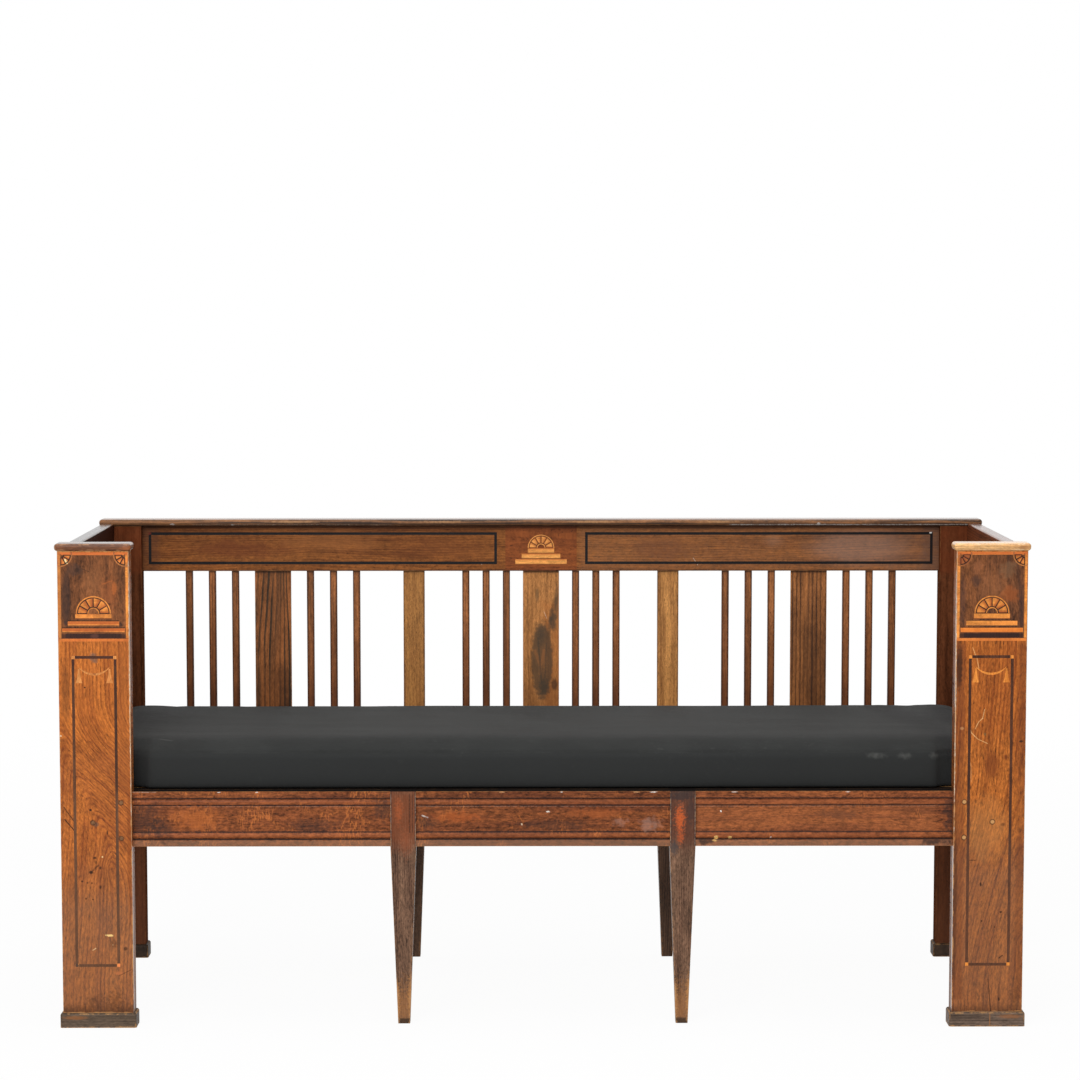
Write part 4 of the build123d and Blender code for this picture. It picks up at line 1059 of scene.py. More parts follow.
class SETTLE_OT_back_frame(bpy.types.Operator):
    """Finish the rear posts, the cap rail, the frieze with its lines and plaque, and the seat rail"""
    bl_idname = "settle.back_frame"
    bl_label = "Back frame"

    def execute(self, context):
        woods = context.scene.settle_woods
        grime = woods.grime
        face = FRIEZE_LOW[1]
        board = dict(light=woods.panel_light, dark=woods.panel_dark)
        for node, sign in sides("rear_post"):
            dress(node, board, seed=40.0 + sign, wear=0.4, wear_strength=0.2, gloss=0.0,
                  pith=(sign * 0.83, 0.30, 0.0), marks=on_face(REAR_POST_LOW[1], [
                      patch(-1.0, 0.02, 1.0, 0.36, tone(122, 80, 60), 0.55, soft=0.10, ragged=0.02,
                            coarse=0.03),
                      patch(-1.0, 0.788, 1.0, 0.90, tone(118, 58, 32), 0.45, soft=0.02, ragged=0.03,
                            coarse=0.03),
                      scratch(sign * 0.842, 0.155, sign * 0.834, 0.160, 0.0016, grime)]))
        dress("back_cap_rail", light=woods.rail_cap, dark=tone(52, 36, 26), axis="X",
              pith=(0.30, 0.84, 0.0), rings=0.9, ring_contrast=1.0, seed=44.0, wear=0.8,
              wear_colour=tone(150, 112, 80), wear_strength=0.5, gloss=0.2, mottle=0.6, wander=0.012,
              shine=((-1.0, -1.0, 0.8925), (1.0, 1.0, 0.90)),
              marks=cap_rail_marks(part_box("back_cap_rail")[0][1], grime))
        dress("back_frieze_rail", light=woods.frieze_light, dark=woods.frieze_dark, axis="X",
              pith=(0.36, 0.74, 0.0), rings=0.7, seed=47.0, wander=0.02, wear=0.4, wear_strength=0.3,
              mottle=0.40, grit=0.22, marks=frieze_marks(face, grime))
        dress("back_plaque_veneer", light=tone(142, 76, 36), dark=tone(104, 52, 26), wear=0, rings=1.2,
              seed=52.0, axis="X", pith=(0.25, 0.86, 0.0), wander=0.02, ring_contrast=0.4,
              marks=on_face(face, [patch(-0.10, 0.8745, 0.10, 0.89, UNDER_CAP, soft=0.004),
                                   patch(-0.10, 0.78, 0.10, 0.7905, grime)]))
        foot = FRIEZE_LOW[2]
        steps = [patch(-0.07, foot + low - 0.001, 0.07, foot + low + 0.001, UNDER_CAP, 0.7, soft=0.0012)
                 for low in (0.0360, 0.0250, 0.0134)]
        steps += [patch(-0.07, foot + top - 0.0024, 0.07, foot + top + 0.001, tone(206, 112, 48),
                        soft=0.0016) for top in (0.0454, 0.0348, 0.0236)]
        burst = fan((0.0, face, foot + 0.0466), 0.0097, 0.0240, (tone(178, 88, 36), 0.6),
                    tone(84, 42, 24), 0.0016)
        dress("back_plaque_satinwood", light=tone(240, 164, 84), dark=tone(216, 132, 60), wear=0, rings=0.5,
              pores=0.2, pore_size=0.5, seed=54.0, axis="X", ring_contrast=0.3, gloss=0.2,
              marks=on_face(face, steps) + burst)
        dress("frieze_ebony_stringing", light=woods.ebony, dark=tone(18, 16, 17), wear=0, pores=0.1,
              seed=57.0, axis="X", ring_contrast=0.3, marks=on_face(face, [
                  # a painted glint near the right end of the stringing
                  chip(0.787, 0.8655, 0.0034, 0.0026, tone(240, 240, 236)),
                  blot(-0.791, 0.8645, 0.006, 0.004, tone(120, 50, 36), 0.7)]))
        dress("rear_seat_rail", board, axis="X", seed=60.0, pith=(0.30, 0.5, 0.0), wear=0.5)
        return {"FINISHED"}


def center_slat_marks(face):
    """The burnt stain down the middle slat, its paler and redder stretches, and painted shade low on it."""
    stain, ash, low_shade = tone(66, 58, 48), tone(150, 96, 56), tone(112, 70, 40)
    return on_face(face, [
        patch(0.008, 0.44, 0.04, 0.72, tone(166, 92, 40), 0.5, soft=0.03, ragged=0.03, coarse=0.02),
        # painted shade low on the slat, in a redder tone
        patch(-0.04, 0.44, 0.04, 0.555, low_shade, 0.55, soft=0.05, ragged=0.02),
        blot(0.002, 0.606, 0.025, 0.090, tone(86, 66, 48), 0.85, soft=0.28, ragged=0.5, coarse=0.008),
        blot(0.006, 0.606, 0.010, 0.044, tone(140, 92, 56), 0.55, soft=1.0, ragged=2.2, coarse=0.006),
        scratch(-0.012, 0.624, -0.002, 0.596, 0.0050, ash, 0.6),
        scratch(0.006, 0.626, -0.002, 0.578, 0.0040, ash, 0.5),
        scratch(0.029, 0.730, 0.020, 0.690, 0.0070, tone(96, 62, 38), 0.6, broken=0.2),
        scratch(0.020, 0.690, 0.014, 0.650, 0.0050, tone(92, 66, 44), 0.6, broken=0.2),
        blot(0.0, 0.656, 0.015, 0.030, stain, 0.60, soft=0.9, ragged=0.9, coarse=0.006),
        blot(0.006, 0.550, 0.015, 0.030, stain, 0.75, soft=0.8, ragged=1.2, coarse=0.006),
        scratch(-0.006, 0.650, 0.001, 0.560, 0.0030, stain, 0.6, broken=0.3),
        scratch(0.011, 0.640, 0.008, 0.570, 0.0024, stain, 0.5, broken=0.3),
        blot(0.0235, 0.688, 0.011, 0.028, stain, 0.75, ragged=1.0),
        blot(0.031, 0.720, 0.005, 0.050, stain, 0.6),
        blot(-0.008, 0.738, 0.005, 0.018, tone(110, 84, 56), 0.6, coarse=0.008),
        blot(0.027, 0.556, 0.009, 0.016, tone(66, 44, 32), 0.75, coarse=0.008),
        scratch(0.006, 0.705, 0.012, 0.690, 0.0008, tone(220, 200, 180), 0.5)])


class SETTLE_OT_uprights(bpy.types.Operator):
    """Finish the spindles and slats of the back and the sides"""
    bl_idname = "settle.uprights"
    bl_label = "Spindles and slats"

    def execute(self, context):
        woods = context.scene.settle_woods
        grime = woods.grime
        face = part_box("back_wide_slat_center")[0][1]

        def band(x0, z0, x1, z1, shown, strength, soft, ragged=0.0, coarse=0.01):
            return patch(x0, z0, x1, z1, shown, strength, face, 0.05, soft, ragged, coarse)

        def edges(places, wide, strength):
            """Painted shade along the upright edges of spindles or slats."""
            return [band(x - wide, 0.40, x + wide, 0.80, tone(58, 30, 20), strength, 0.003, 0.003, 0.006)
                    for x in places]

        spindle = dict(light=woods.spindle, dark=tone(82, 52, 32), wear=0, rings=0.8, wander=0.02,
                       pores=0.45, ring_contrast=0.45, mottle=0.55)
        seed = 70.0
        half = SPINDLE_WIDE / 2
        for bay in ("inner", "middle", "outer"):
            for node, sign in sides(f"back_spindles_{bay}"):
                seed += 3.7
                low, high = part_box(node)
                middles = (low[0] + half, (low[0] + high[0]) / 2, high[0] - half)
                dress(node, spindle, seed=seed, pith=(low[0] - 0.05, 0.36, 0.0), marks=[
                    # painted shade low on the spindles
                    band(-1.0, 0.40, 1.0, 0.66, tone(100, 56, 32), 0.50, 0.14, 0.10, 0.03),
                    band(-1.0, 0.40, 1.0, 0.56, tone(66, 34, 24), 0.45, 0.06, 0.06, 0.03),
                    band(-1.0, 0.7845, 1.0, 0.80, grime, 0.6, 0.004),
                    *edges([x + side for x in middles for side in (-half, half)], 0.0028, 0.75)])
        for node, sign in sides("side_spindles"):
            dress(node, spindle, seed=90.0 + sign, pith=(sign * 0.93, 0.1, 0.0))
        for node, sign in sides("side_wide_slat"):
            dress(node, light=woods.wide_slat, dark=tone(92, 58, 38), seed=94.0 + sign,
                  pith=(sign * 0.95, 0.0, 0.0), wear=0.6, wear_strength=0.4)
        for node, sign in sides("back_narrow_slat"):
            low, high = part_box(node)
            dress(node, light=tone(193 + 16 * sign, 135 + 12 * sign, 75 + 8 * sign), dark=tone(118, 72, 38),
                  rings=0.5, seed=101.0 + sign, pith=(sign * 0.20, 0.30, 0.0), pores=0.6,
                  ring_contrast=0.35, wear=0.5, wear_strength=0.4, grit=0.18,
                  marks=[band(-1.0, 0.7845, 1.0, 0.80, grime, 0.5, 0.004)]
                  + edges((low[0], high[0]), 0.0026, 0.6))
        shade = tone(46, 30, 22)
        wide = dict(dark=tone(60, 46, 34), ring_contrast=1.0, wear=0.6, wear_strength=0.5, mottle=0.45,
                    grit=0.22)
        under = [band(-1.0, 0.7835, 1.0, 0.80, grime, 0.7, 0.004)]
        dress("back_wide_slat_left", wide, seed=111.0, pith=(-0.640, face + 0.02, 0.0), rings=1.9,
              sweeps=((0.60, 0.86, 0.0, -0.014),), light=tone(152, 92, 50),
              knots=(((-0.500, face, 0.810), (0.024, 0.06, 0.110), 0.022),),
              marks=under + on_face(face, [
                  patch(-0.532, 0.44, -0.500, 0.590, shade, 0.65, soft=0.04, ragged=0.03, coarse=0.012),
                  patch(-1.0, 0.44, 0.0, 0.56, shade, 0.30, soft=0.05, ragged=0.02)]))
        dress("back_wide_slat_right", wide, seed=117.3, pith=(0.600, face + 0.02, 0.0), rings=1.5,
              ring_contrast=0.95, light=tone(176, 112, 62), dark=tone(78, 50, 34), wander=0.005,
              marks=under + on_face(face, [
                  patch(0.0, 0.44, 1.0, 0.68, shade, 0.50, soft=0.16, ragged=0.02),
                  patch(0.548, 0.44, 1.0, 0.66, shade, 0.65, soft=0.06, ragged=0.02)]))
        dress("back_wide_slat_center", wide, light=tone(184, 124, 70), dark=tone(136, 88, 48), seed=121.0,
              pith=(-0.06, face + 0.03, 0.0), ring_contrast=0.5, rings=1.6, wander=0.03,
              marks=under + center_slat_marks(face))
        return {"FINISHED"}


def smudge(x, z, wide, high, strength=0.65, shown=(52, 38, 34)):
    """A worn and dirty place on the apron's flat."""
    return blot(x, z, wide, high, tone(*shown), strength, y=APRON_FLAT, deep=0.02, soft=0.8, ragged=2.0,
                coarse=0.008)


def edge_chips(colour, *rows):
    """Small bright dents along the apron's upper edge. A row is X, the two reaches and the strength."""
    return [chip(x, APRON_EDGE, wide, high, colour, APRON_LOW[1], strength)
            for x, wide, high, strength in rows]


def apron_marks():
    """What each length of the apron has got from use, with its share of flecks and of light."""
    face, flat = APRON_LOW[1], APRON_FLAT
    pale, white, straw = tone(214, 160, 110), tone(230, 224, 216), tone(226, 182, 110)
    yield "apron_left", 131.0, 0.85, 0.98, [
        smudge(-0.735, 0.385, 0.050, 0.045), smudge(-0.700, 0.366, 0.030, 0.030),
        smudge(-0.290, 0.405, 0.030, 0.030, 0.6), smudge(-0.42, 0.372, 0.060, 0.020, 0.5),
        scratch(-0.752, 0.435, -0.71, 0.435, 0.0012, tone(180, 156, 140), 0.5, face, broken=0.9),
        *edge_chips(white, (-0.595, 0.0040, 0.0012, 0.7), (-0.525, 0.0040, 0.0012, 0.7)),
        smudge(-0.640, 0.385, 0.060, 0.030, 0.5, (176, 96, 44))]
    yield "apron_center", 137.4, 0.6, 0.85, [
        scratch(-0.222, 0.3905, -0.212, 0.387, 0.0018, white, y=flat),
        chip(0.0091, 0.3975, 0.0035, 0.0018, tone(220, 212, 200), flat),
        chip(-0.039, 0.374, 0.0020, 0.0026, tone(214, 190, 160), flat),
        smudge(0.1965, 0.3731, 0.026, 0.018, 0.40, (172, 132, 116)),
        smudge(0.140, 0.378, 0.018, 0.010, 0.3, (166, 130, 116)),
        smudge(-0.215, 0.378, 0.030, 0.020, 0.6), smudge(0.02, 0.372, 0.09, 0.014, 0.45),
        smudge(-0.16, 0.388, 0.06, 0.012, 0.38, (184, 92, 40)),
        smudge(0.10, 0.395, 0.07, 0.012, 0.34, (178, 92, 44)),
        *edge_chips(white, (0.034, 0.0024, 0.0014, 0.7)),
        *edge_chips(pale, (-0.075, 0.0060, 0.0012, 0.6), (0.172, 0.0070, 0.0012, 0.6)),
        *edge_chips(white, (0.203, 0.0080, 0.0014, 0.8))]
    yield "apron_right", 143.9, 0.4, 1.10, [
        chip(0.318, 0.350, 0.0050, 0.0050, straw, flat, 1.0),
        chip(0.315, 0.344, 0.0060, 0.0030, tone(216, 170, 104), face),
        chip(0.344, 0.350, 0.0040, 0.0036, straw, flat),
        *edge_chips(white, (0.352, 0.0060, 0.0012, 0.6), (0.560, 0.0050, 0.0012, 0.6)),
        smudge(0.752, 0.385, 0.022, 0.060, 0.7), smudge(0.545, 0.392, 0.05, 0.016, 0.5),
        smudge(0.300, 0.342, 0.025, 0.008, 0.8), smudge(0.722, 0.342, 0.04, 0.008, 0.8),
        patch(0.28, 0.364, 0.72, 0.406, tone(178, 108, 64), 0.22, flat, soft=0.02, ragged=0.02,
              coarse=0.02),
        chip(0.327, 0.398, 0.0020, 0.0022, white, flat), chip(0.419, 0.350, 0.0022, 0.0018, white, flat)]


def top_shadow(top, face):
    """The dark upper face that the cushion lies over."""
    return patch(-1.0, top - 0.0006, 1.0, 0.45, tone(20, 15, 13), 1.0, y=face + 0.5, deep=0.4995,
                 soft=0.0008)


class SETTLE_OT_apron(bpy.types.Operator):
    """Finish the three lengths of the moulded front apron"""
    bl_idname = "settle.apron"
    bl_label = "Apron"

    def execute(self, context):
        woods = context.scene.settle_woods
        face, flat = APRON_LOW[1], APRON_FLAT
        for node, seed, flecks, share, own in apron_marks():
            low, high = (corner[0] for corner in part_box(node))
            marks = [patch(low, 0.33, high, 0.3462, tone(146, 112, 88), 0.42, face, 0.01, 0.004, 0.010,
                           0.006)]
            marks += [patch(low, z, high, z + BEAD_HIGH, tone(184, 104, 62), 0.22, face, soft=0.004,
                            ragged=0.004) for z in BEAD_HEIGHTS]
            # dark dirt and painted shade in each quirk, and a painted highlight line just under it
            for z in QUIRK_HEIGHTS:
                marks += [patch(low, z - 0.0012, high, z + 0.0012, tone(30, 24, 26), 0.9, flat, 0.006,
                                0.0018, 0.0020, 0.004),
                          scratch(low, z - 0.0024, high, z - 0.0024, 0.0008, tone(166, 140, 124), 0.35,
                                  flat, 1.0)]
            marks += own + [top_shadow(APRON_HIGH[2], face)]
            for x, way in ((low, 1), (high, -1)):
                marks += [patch(x - 0.002, 0.33, x + 0.002, 0.44, tone(52, 38, 34), 0.8, flat, 0.01, 0.003,
                                0.002),
                          scratch(x + way * 0.0012, 0.34, x + way * 0.0012, 0.43, 0.0010,
                                  tone(190, 180, 170), 0.5, face, 1.0)]
            dress(node, light=shaded(woods.apron_light, share), dark=shaded(woods.apron_dark, share),
                  axis="X", pith=(face + 0.05, 0.30, 0.0), rings=0.8, seed=seed, wander=0.03, wear=0.4,
                  wear_strength=0.3, mottle=0.42, grit=0.46, flecks=flecks, ring_contrast=0.35, pores=0.4,
                  fleck_colour=tone(206, 120, 58), marks=marks)
        return {"FINISHED"}


def leg_marks(x, sign, face, grime):
    """A redder upper part, dark joints beside it, and a toe rubbed pale with dirt under it."""
    soot, gold = tone(50, 42, 42), tone(186, 130, 76)
    toe = dict(y=face + 0.012, deep=0.06)
    marks = [
        patch(-1.0, 0.335, 1.0, 0.44, tone(116, 60, 32) if sign < 0 else tone(86, 48, 34), 0.75, face, 0.02,
              0.05, 0.03, 0.008),
        blot(x, 0.030, 0.022, 0.075, tone(166, 112, 66), 0.55, **toe, soft=1.0, ragged=1.6, coarse=0.0035),
        *blots(gold, (x + 0.012, 0.045, 0.007, 0.060, 0.70), (x - 0.012, 0.040, 0.007, 0.055, 0.60), **toe,
               soft=0.8, ragged=2.2, coarse=0.003),
        patch(-1.0, -0.01, 1.0, 0.010, tone(56, 44, 34), 0.85, **toe, soft=0.004, ragged=0.004,
              coarse=0.004),
        top_shadow(LEG_HIGH[2], face),
    ]
    for side in (-1, 1):
        marks += on_face(face, [
            patch(x + side * LEG_HALF - 0.0022, 0.334, x + side * LEG_HALF + 0.0022, 0.44, soot, 0.7,
                  soft=0.003, ragged=0.003, coarse=0.005),
            scratch(x + side * 0.0225, 0.335, x + side * 0.0225, 0.43, 0.0010, tone(186, 166, 150), 0.4,
                    broken=1.0)])
    if sign < 0:
        worn = dict(coarse=0.004, ragged=2.0, soft=1.0)
        own = [
            scratch(x + 0.012, 0.43, x + 0.012, 0.36, 0.0016, grime, 0.7),
            scratch(x + 0.017, 0.43, x + 0.017, 0.36, 0.0012, grime, 0.7),
            blot(x - 0.008, 0.400, 0.012, 0.034, tone(176, 88, 44), 0.45, **worn),
            blot(x + 0.004, 0.340, 0.018, 0.040, tone(150, 82, 50), 0.4, **worn)]
    else:
        worn = dict(coarse=0.0035, ragged=2.2, soft=0.9)
        dirty = dict(coarse=0.006, ragged=1.4)
        own = [
            blot(x - 0.005, 0.386, 0.013, 0.034, tone(198, 92, 42), **worn),
            blot(x - 0.004, 0.352, 0.009, 0.022, tone(180, 86, 44), 0.7, **worn),
            blot(x, 0.428, 0.030, 0.012, soot, 0.75, **dirty),
            blot(x - 0.016, 0.330, 0.010, 0.018, tone(64, 60, 60), 0.7, **dirty),
            blot(x + 0.014, 0.400, 0.010, 0.030, soot, 0.55, **dirty)]
    return marks + on_face(face, own)


class SETTLE_OT_middle_legs(bpy.types.Operator):
    """Finish the tapered legs, rubbed pale at their toes"""
    bl_idname = "settle.middle_legs"
    bl_label = "Middle legs"

    def execute(self, context):
        woods = context.scene.settle_woods
        face = LEG_LOW[1]
        for node, sign in sides("front_middle_leg"):
            x = sign * LEG_MID
            dress(node, light=woods.leg, dark=tone(74, 50, 38), seed=151.0 + 2 * sign,
                  pith=(x - 0.08, face + 0.05, 0.0), rings=0.7, marks=leg_marks(x, sign, face, woods.grime),
                  wear=0.45, wear_colour=tone(186, 140, 96), wear_strength=0.6, mottle=0.65, grit=0.32,
                  pores=0.8, leg=(x, face + LEG_HALF, 0.0))
        # painted shade: the rear legs take a darker colour than the front ones
        for node, sign in sides("rear_middle_leg"):
            x = sign * LEG_MID
            dress(node, light=woods.rear_leg, dark=tone(50, 36, 28), seed=161.0 + 2 * sign,
                  pith=(x + 0.08, 0.34, 0.0), rings=0.7, wear=0.4, wear_strength=0.3, mottle=0.5,
                  leg=(x, REAR_LEG_BACK - LEG_HALF, 0.0))
        return {"FINISHED"}


class SETTLE_OT_arms_and_sides(bpy.types.Operator):
    """Finish the arm boards and the side seat rails"""
    bl_idname = "settle.arms_and_sides"
    bl_label = "Arms and side rails"

    def execute(self, context):
        woods = context.scene.settle_woods
        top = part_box("arm_rail_right")[1][2]
        for node, sign in sides("arm_rail"):
            dress(node, light=tone(75 + 37 * sign, 39 + 22 * sign, 24 + 13 * sign),
                  dark=woods.panel_dark if sign > 0 else tone(44, 22, 14), axis="Y", seed=171.0 + sign,
                  pith=(sign * 0.93, 0.80, 0.0), rings=0.8, wear=0.8, wear_strength=0.3, gloss=0.04,
                  shine=((-1.0, -1.0, top - 0.002), (1.0, 1.0, top + 0.001)))
        for node, sign in sides("side_seat_rail"):
            dress(node, light=woods.panel_light, dark=woods.panel_dark, axis="Y", seed=176.0 + sign,
                  pith=(sign * 0.93, 0.34, 0.0), rings=0.8, wear_strength=0.4)
        return {"FINISHED"}


class SETTLE_OT_seat_boards(bpy.types.Operator):
    """Finish the bare boards and bearers under the cushion"""
    bl_idname = "settle.seat_boards"
    bl_label = "Seat boards"

    def execute(self, context):
        woods = context.scene.settle_woods
        pine = dict(light=woods.pine, dark=tone(146, 104, 62), pores=0.1, rings=1.6, gloss=0.05, rough=0.25,
                    wear=0, ring_contrast=0.7)
        # painted shadow: the front edge of the boards is as dark as the rails' tops beside it
        edge = patch(-1.0, 0.40, 1.0, 0.45, tone(20, 15, 13), 1.0, y=-0.262, deep=0.020, soft=0.004)
        for i in range(1, 5):
            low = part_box(f"seat_board_{i}")[0]
            dress(f"seat_board_{i}", pine, axis="X", seed=181.0 + i, pith=(low[1] + 0.03, 0.36, 0.0),
                  marks=[edge])
        for i, name in enumerate(("seat_bearer", "cross_bearer")):
            for node, sign in sides(name):
                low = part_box(node)[0]
                dress(node, pine, axis="Y", seed=190.0 + 3 * i + sign, pith=(low[0], 0.30, 0.0))
        return {"FINISHED"}


def cushion_ring(along, context):
    """One section of the cushion's cover, as a closed run of points across it."""
    sizes = context.scene.settle_cushion
    inset = sizes.inset
    half_long = (CUSHION_HIGH[0] - CUSHION_LOW[0]) / 2 - inset
    half_deep = (CUSHION_HIGH[1] - CUSHION_LOW[1]) / 2 - inset
    low = CUSHION_LOW[2] + inset * 0.4
    top = CUSHION_HIGH[2] - inset * 0.6
    # the ends are a little lower, and between the posts the front swells out over the apron
    end = max(0.0, (abs(along) - 0.965) / 0.035)
    shrink = 0.007 * end ** 2
    half = half_deep - shrink
    free = min(1.0, max(0.0, (0.875 - abs(along)) / 0.010))
    front = half + sizes.overhang * free
    r = sizes.edge_round
    roll = sizes.roll_deep
    points = []
    corners = (
        (half - r, low + r * 0.7, r, r * 0.7, -90),
        (half - r, top - shrink - r, r, r, 0),
        (roll - front, top - shrink - sizes.roll_high, roll, sizes.roll_high, 90),
        (r * 0.4 - front, low + r * 0.3, r * 0.4, r * 0.3, 180),
    )
    for y, z, wide, high, start in corners:
        for step in range(7):
            angle = math.radians(start + step * 15)
            points.append((along * half_long, y + wide * math.cos(angle), z + high * math.sin(angle)))
    return points


def cushion_mesh(context):
    """The cover before it is stuffed: sections across it, joined along it, closed at both ends."""
    mesh = bmesh.new()
    half = [0.05, 0.15, 0.3, 0.45, 0.6, 0.75, 0.84, 0.85, 0.86, 0.87, 0.9, 0.95, 0.975, 0.992, 1.0]
    shares = [-share for share in reversed(half)] + half
    rings = [[mesh.verts.new(point) for point in cushion_ring(share, context)] for share in shares]
    for section, after in zip(rings, rings[1:]):
        for i, vert in enumerate(section):
            j = (i + 1) % len(section)
            mesh.faces.new((vert, after[i], after[j], section[j]))
    mesh.faces.new(rings[0])
    mesh.faces.new(list(reversed(rings[-1])))
    bmesh.ops.recalc_face_normals(mesh, faces=mesh.faces)
    data = bpy.data.meshes.new("cushion_cover")
    mesh.to_mesh(data)
    mesh.free()
    return data


def new_object(context, name, data):
    obj = bpy.data.objects.new(name, data)
    context.scene.collection.objects.link(obj)
    return obj


def apply_modifier(context, obj, name):
    context.view_layer.objects.active = obj
    with context.temp_override(object=obj, active_object=obj, selected_objects=[obj]):
        bpy.ops.object.modifier_apply(modifier=name)


def stuff(context, cover):
    """Blows the cover up as cloth, then holds back what moved too far."""
    sizes = context.scene.settle_cushion
    before = [vert.co.copy() for vert in cover.data.vertices]
    cloth = cover.modifiers.new("stuffing", "CLOTH")
    cloth.settings.quality = 4
    cloth.settings.use_pressure = True
    cloth.settings.uniform_pressure_force = sizes.pressure
    cloth.settings.effector_weights.gravity = 0.0
    cloth.settings.tension_stiffness = 12.0
    cloth.settings.compression_stiffness = 12.0
    cloth.settings.bending_stiffness = 0.3
    cloth.point_cache.frame_start = 1
    cloth.point_cache.frame_end = sizes.frames
    for step in range(1, sizes.frames + 1):
        context.scene.frame_set(step)
    apply_modifier(context, cover, "stuffing")
    context.scene.frame_set(1)
    for vert, start in zip(cover.data.vertices, before):
        move = vert.co - start
        if move.length > sizes.swell_most:
            vert.co = start + move.normalized() * sizes.swell_most


def sew(context, cover):
    """Draws the seam in below the roll, and lays the creases of use into the cover."""
    sizes = context.scene.settle_cushion
    seam = CUSHION_HIGH[2] - 0.0185
    cover.data.update()
    normals = [vert.normal.copy() for vert in cover.data.vertices]
    for vert, normal in zip(cover.data.vertices, normals):
        x, y, z = vert.co
        upright = 1.0 - min(1.0, abs(normal.z) * 1.15)
        line = seam + 0.0030 * noise.noise(Vector((x * 1.7, 3.0, 0.0)))
        pull = math.exp(-((z - line) / 0.0042) ** 2)
        pucker = 0.8 + 0.6 * noise.noise(Vector((x * 26, y * 26, z * 20)))
        slack = noise.noise(Vector((x * 2.2, y * 5.0, z * 12.0)))
        fold = noise.noise(Vector((x * 6.0 + y * 5.0, y * 16.0, z * 20.0 + 7.0)))
        crease = 1.0 - min(1.0, abs(noise.noise(Vector((x * 4.0, y * 19.0 + x * 2.5, 5.0)))) * 16)
        rise = -sizes.seam_deep * pull * pucker * upright + 0.0020 * slack + 0.0008 * fold
        rise += 0.0003 * crease * max(0.0, normal.z)
        vert.co += normal * rise
        # its own weight flattens the rounded edge that it rests on
        height = max(0.0, vert.co.z - CUSHION_LOW[2])
        vert.co.z = CUSHION_LOW[2] + height * (0.2 + 0.8 * min(1.0, height / 0.030))


def cushion_marks(sizes):
    """Painted shade and shadows, pale lines painted as highlights, and scuffs that the cover has got from
    use.
    """
    top = CUSHION_HIGH[2]
    front = CUSHION_LOW[1] - sizes.overhang
    dust, dark = sizes.dust, tone(28, 28, 29)
    marks = [
        # painted shadow along the cover's lower edge
        patch(-1.0, 0.42, 1.0, 0.439, tone(10, 10, 10), 0.95, y=0.0, deep=0.5, soft=0.005),
        patch(-1.0, 0.5025, 1.0, 0.54, dark, 0.16, y=front, deep=0.09, soft=0.006, ragged=0.010,
              coarse=0.06),
        # painted shade on the front face below the seam
        patch(-1.0, 0.42, 1.0, 0.5015, tone(42, 43, 43), 0.75, y=front, deep=0.04, soft=0.0015,
              ragged=0.003, coarse=0.05),
        # painted shade on the top towards both ends, and a faint darker stretch over its middle
        blot(-0.78, top, 0.13, 0.05, dark, 0.60, y=0.02, deep=0.24, soft=1.0, coarse=0.05),
        blot(0.80, top, 0.09, 0.05, dark, 0.75, y=0.06, deep=0.24, soft=1.0, coarse=0.05),
        blot(0.10, top, 0.45, 0.05, dark, 0.18, y=-0.17, deep=0.05, soft=1.0, ragged=0.4, coarse=0.08),
        # painted shadow on the front beside each post
        *blots(tone(12, 12, 12), (-0.768, 0.465, 0.020, 0.040, 0.7), (0.768, 0.465, 0.020, 0.040, 0.7),
               y=front, deep=0.06, soft=1.0, ragged=0.3),
    ]
    # a broad stroke of painted shade over the right end of the top, then pale lines painted as highlights
    # on creases
    for x0, y0, x1, y1, wide, shown, strength in (
            (0.674, 0.184, 0.761, -0.226, 0.045, dark, 0.55),
            (-0.631, 0.015, -0.570, -0.033, 0.0020, dust, 0.30),
            (-0.735, -0.200, -0.640, -0.245, 0.0022, dust, 0.30),
            (-0.480, -0.165, -0.260, -0.180, 0.0020, dust, 0.22),
            (-0.640, 0.100, -0.520, -0.060, 0.0040, dust, 0.10)):
        marks.append({"kind": "Scratch", "Start": (x0, y0, top), "End": (x1, y1, top), "Width": wide,
                      "Broken": 0.5, "colour": shown, "strength": strength})
    # pale lines along the front, painted as highlights at the seam
    for x0, x1, z, strength in ((-0.73, -0.60, 0.5005, 0.35), (-0.62, -0.54, 0.4985, 0.30),
                                (-0.30, -0.10, 0.5015, 0.15), (0.20, 0.48, 0.5015, 0.18)):
        marks.append(scratch(x0, z, x1, z - 0.002, 0.0018, dust, strength, front, 0.8))
    for x, wide in ((0.615, 0.020), (0.668, 0.015), (0.722, 0.010)):
        marks.append(blot(x, 0.4965, wide * 1.3, 0.0095, dust, 0.34, front, 0.04, 1.0, 0.9, 0.006))
    return marks


def cushion_material(context):
    """Black woven cotton, faded in clouds, with lint on it and painted shadow along its lower seam."""
    sizes = context.scene.settle_cushion
    material, t, shader, _ = new_material("black_cotton_cover")
    place = t.place()
    cloth = t.use("Weave", Vector=place, Pitch=sizes.thread, Slub=0.6)
    lint = t.use("Dust", Vector=place, Speck=0.0024, Share=0.6, Seed=4.0).mask
    haze = t.use("Dust", Vector=place, Speck=0.012, Share=1.2, Seed=9.0).mask
    body = t.mix(t.slope(cloth.tint, 0.3, 0.8), shaded(sizes.cloth, 0.80), shaded(sizes.cloth, 1.22))
    body = t.mix(lint * 0.45, body, sizes.dust)
    body = t.mix(haze * 0.06, body, sizes.dust)
    body = paint_marks(t, place, body, cushion_marks(sizes))
    t.fill(shader, Base_Color=body, Roughness=t.slope(cloth.tint, 0.2, 0.9, 0.72, 0.86),
           Specular_IOR_Level=0.12, Sheen_Weight=0.03, Sheen_Roughness=0.5)
    t.bump(shader, cloth.height, 0.5, 0.0004)
    return material


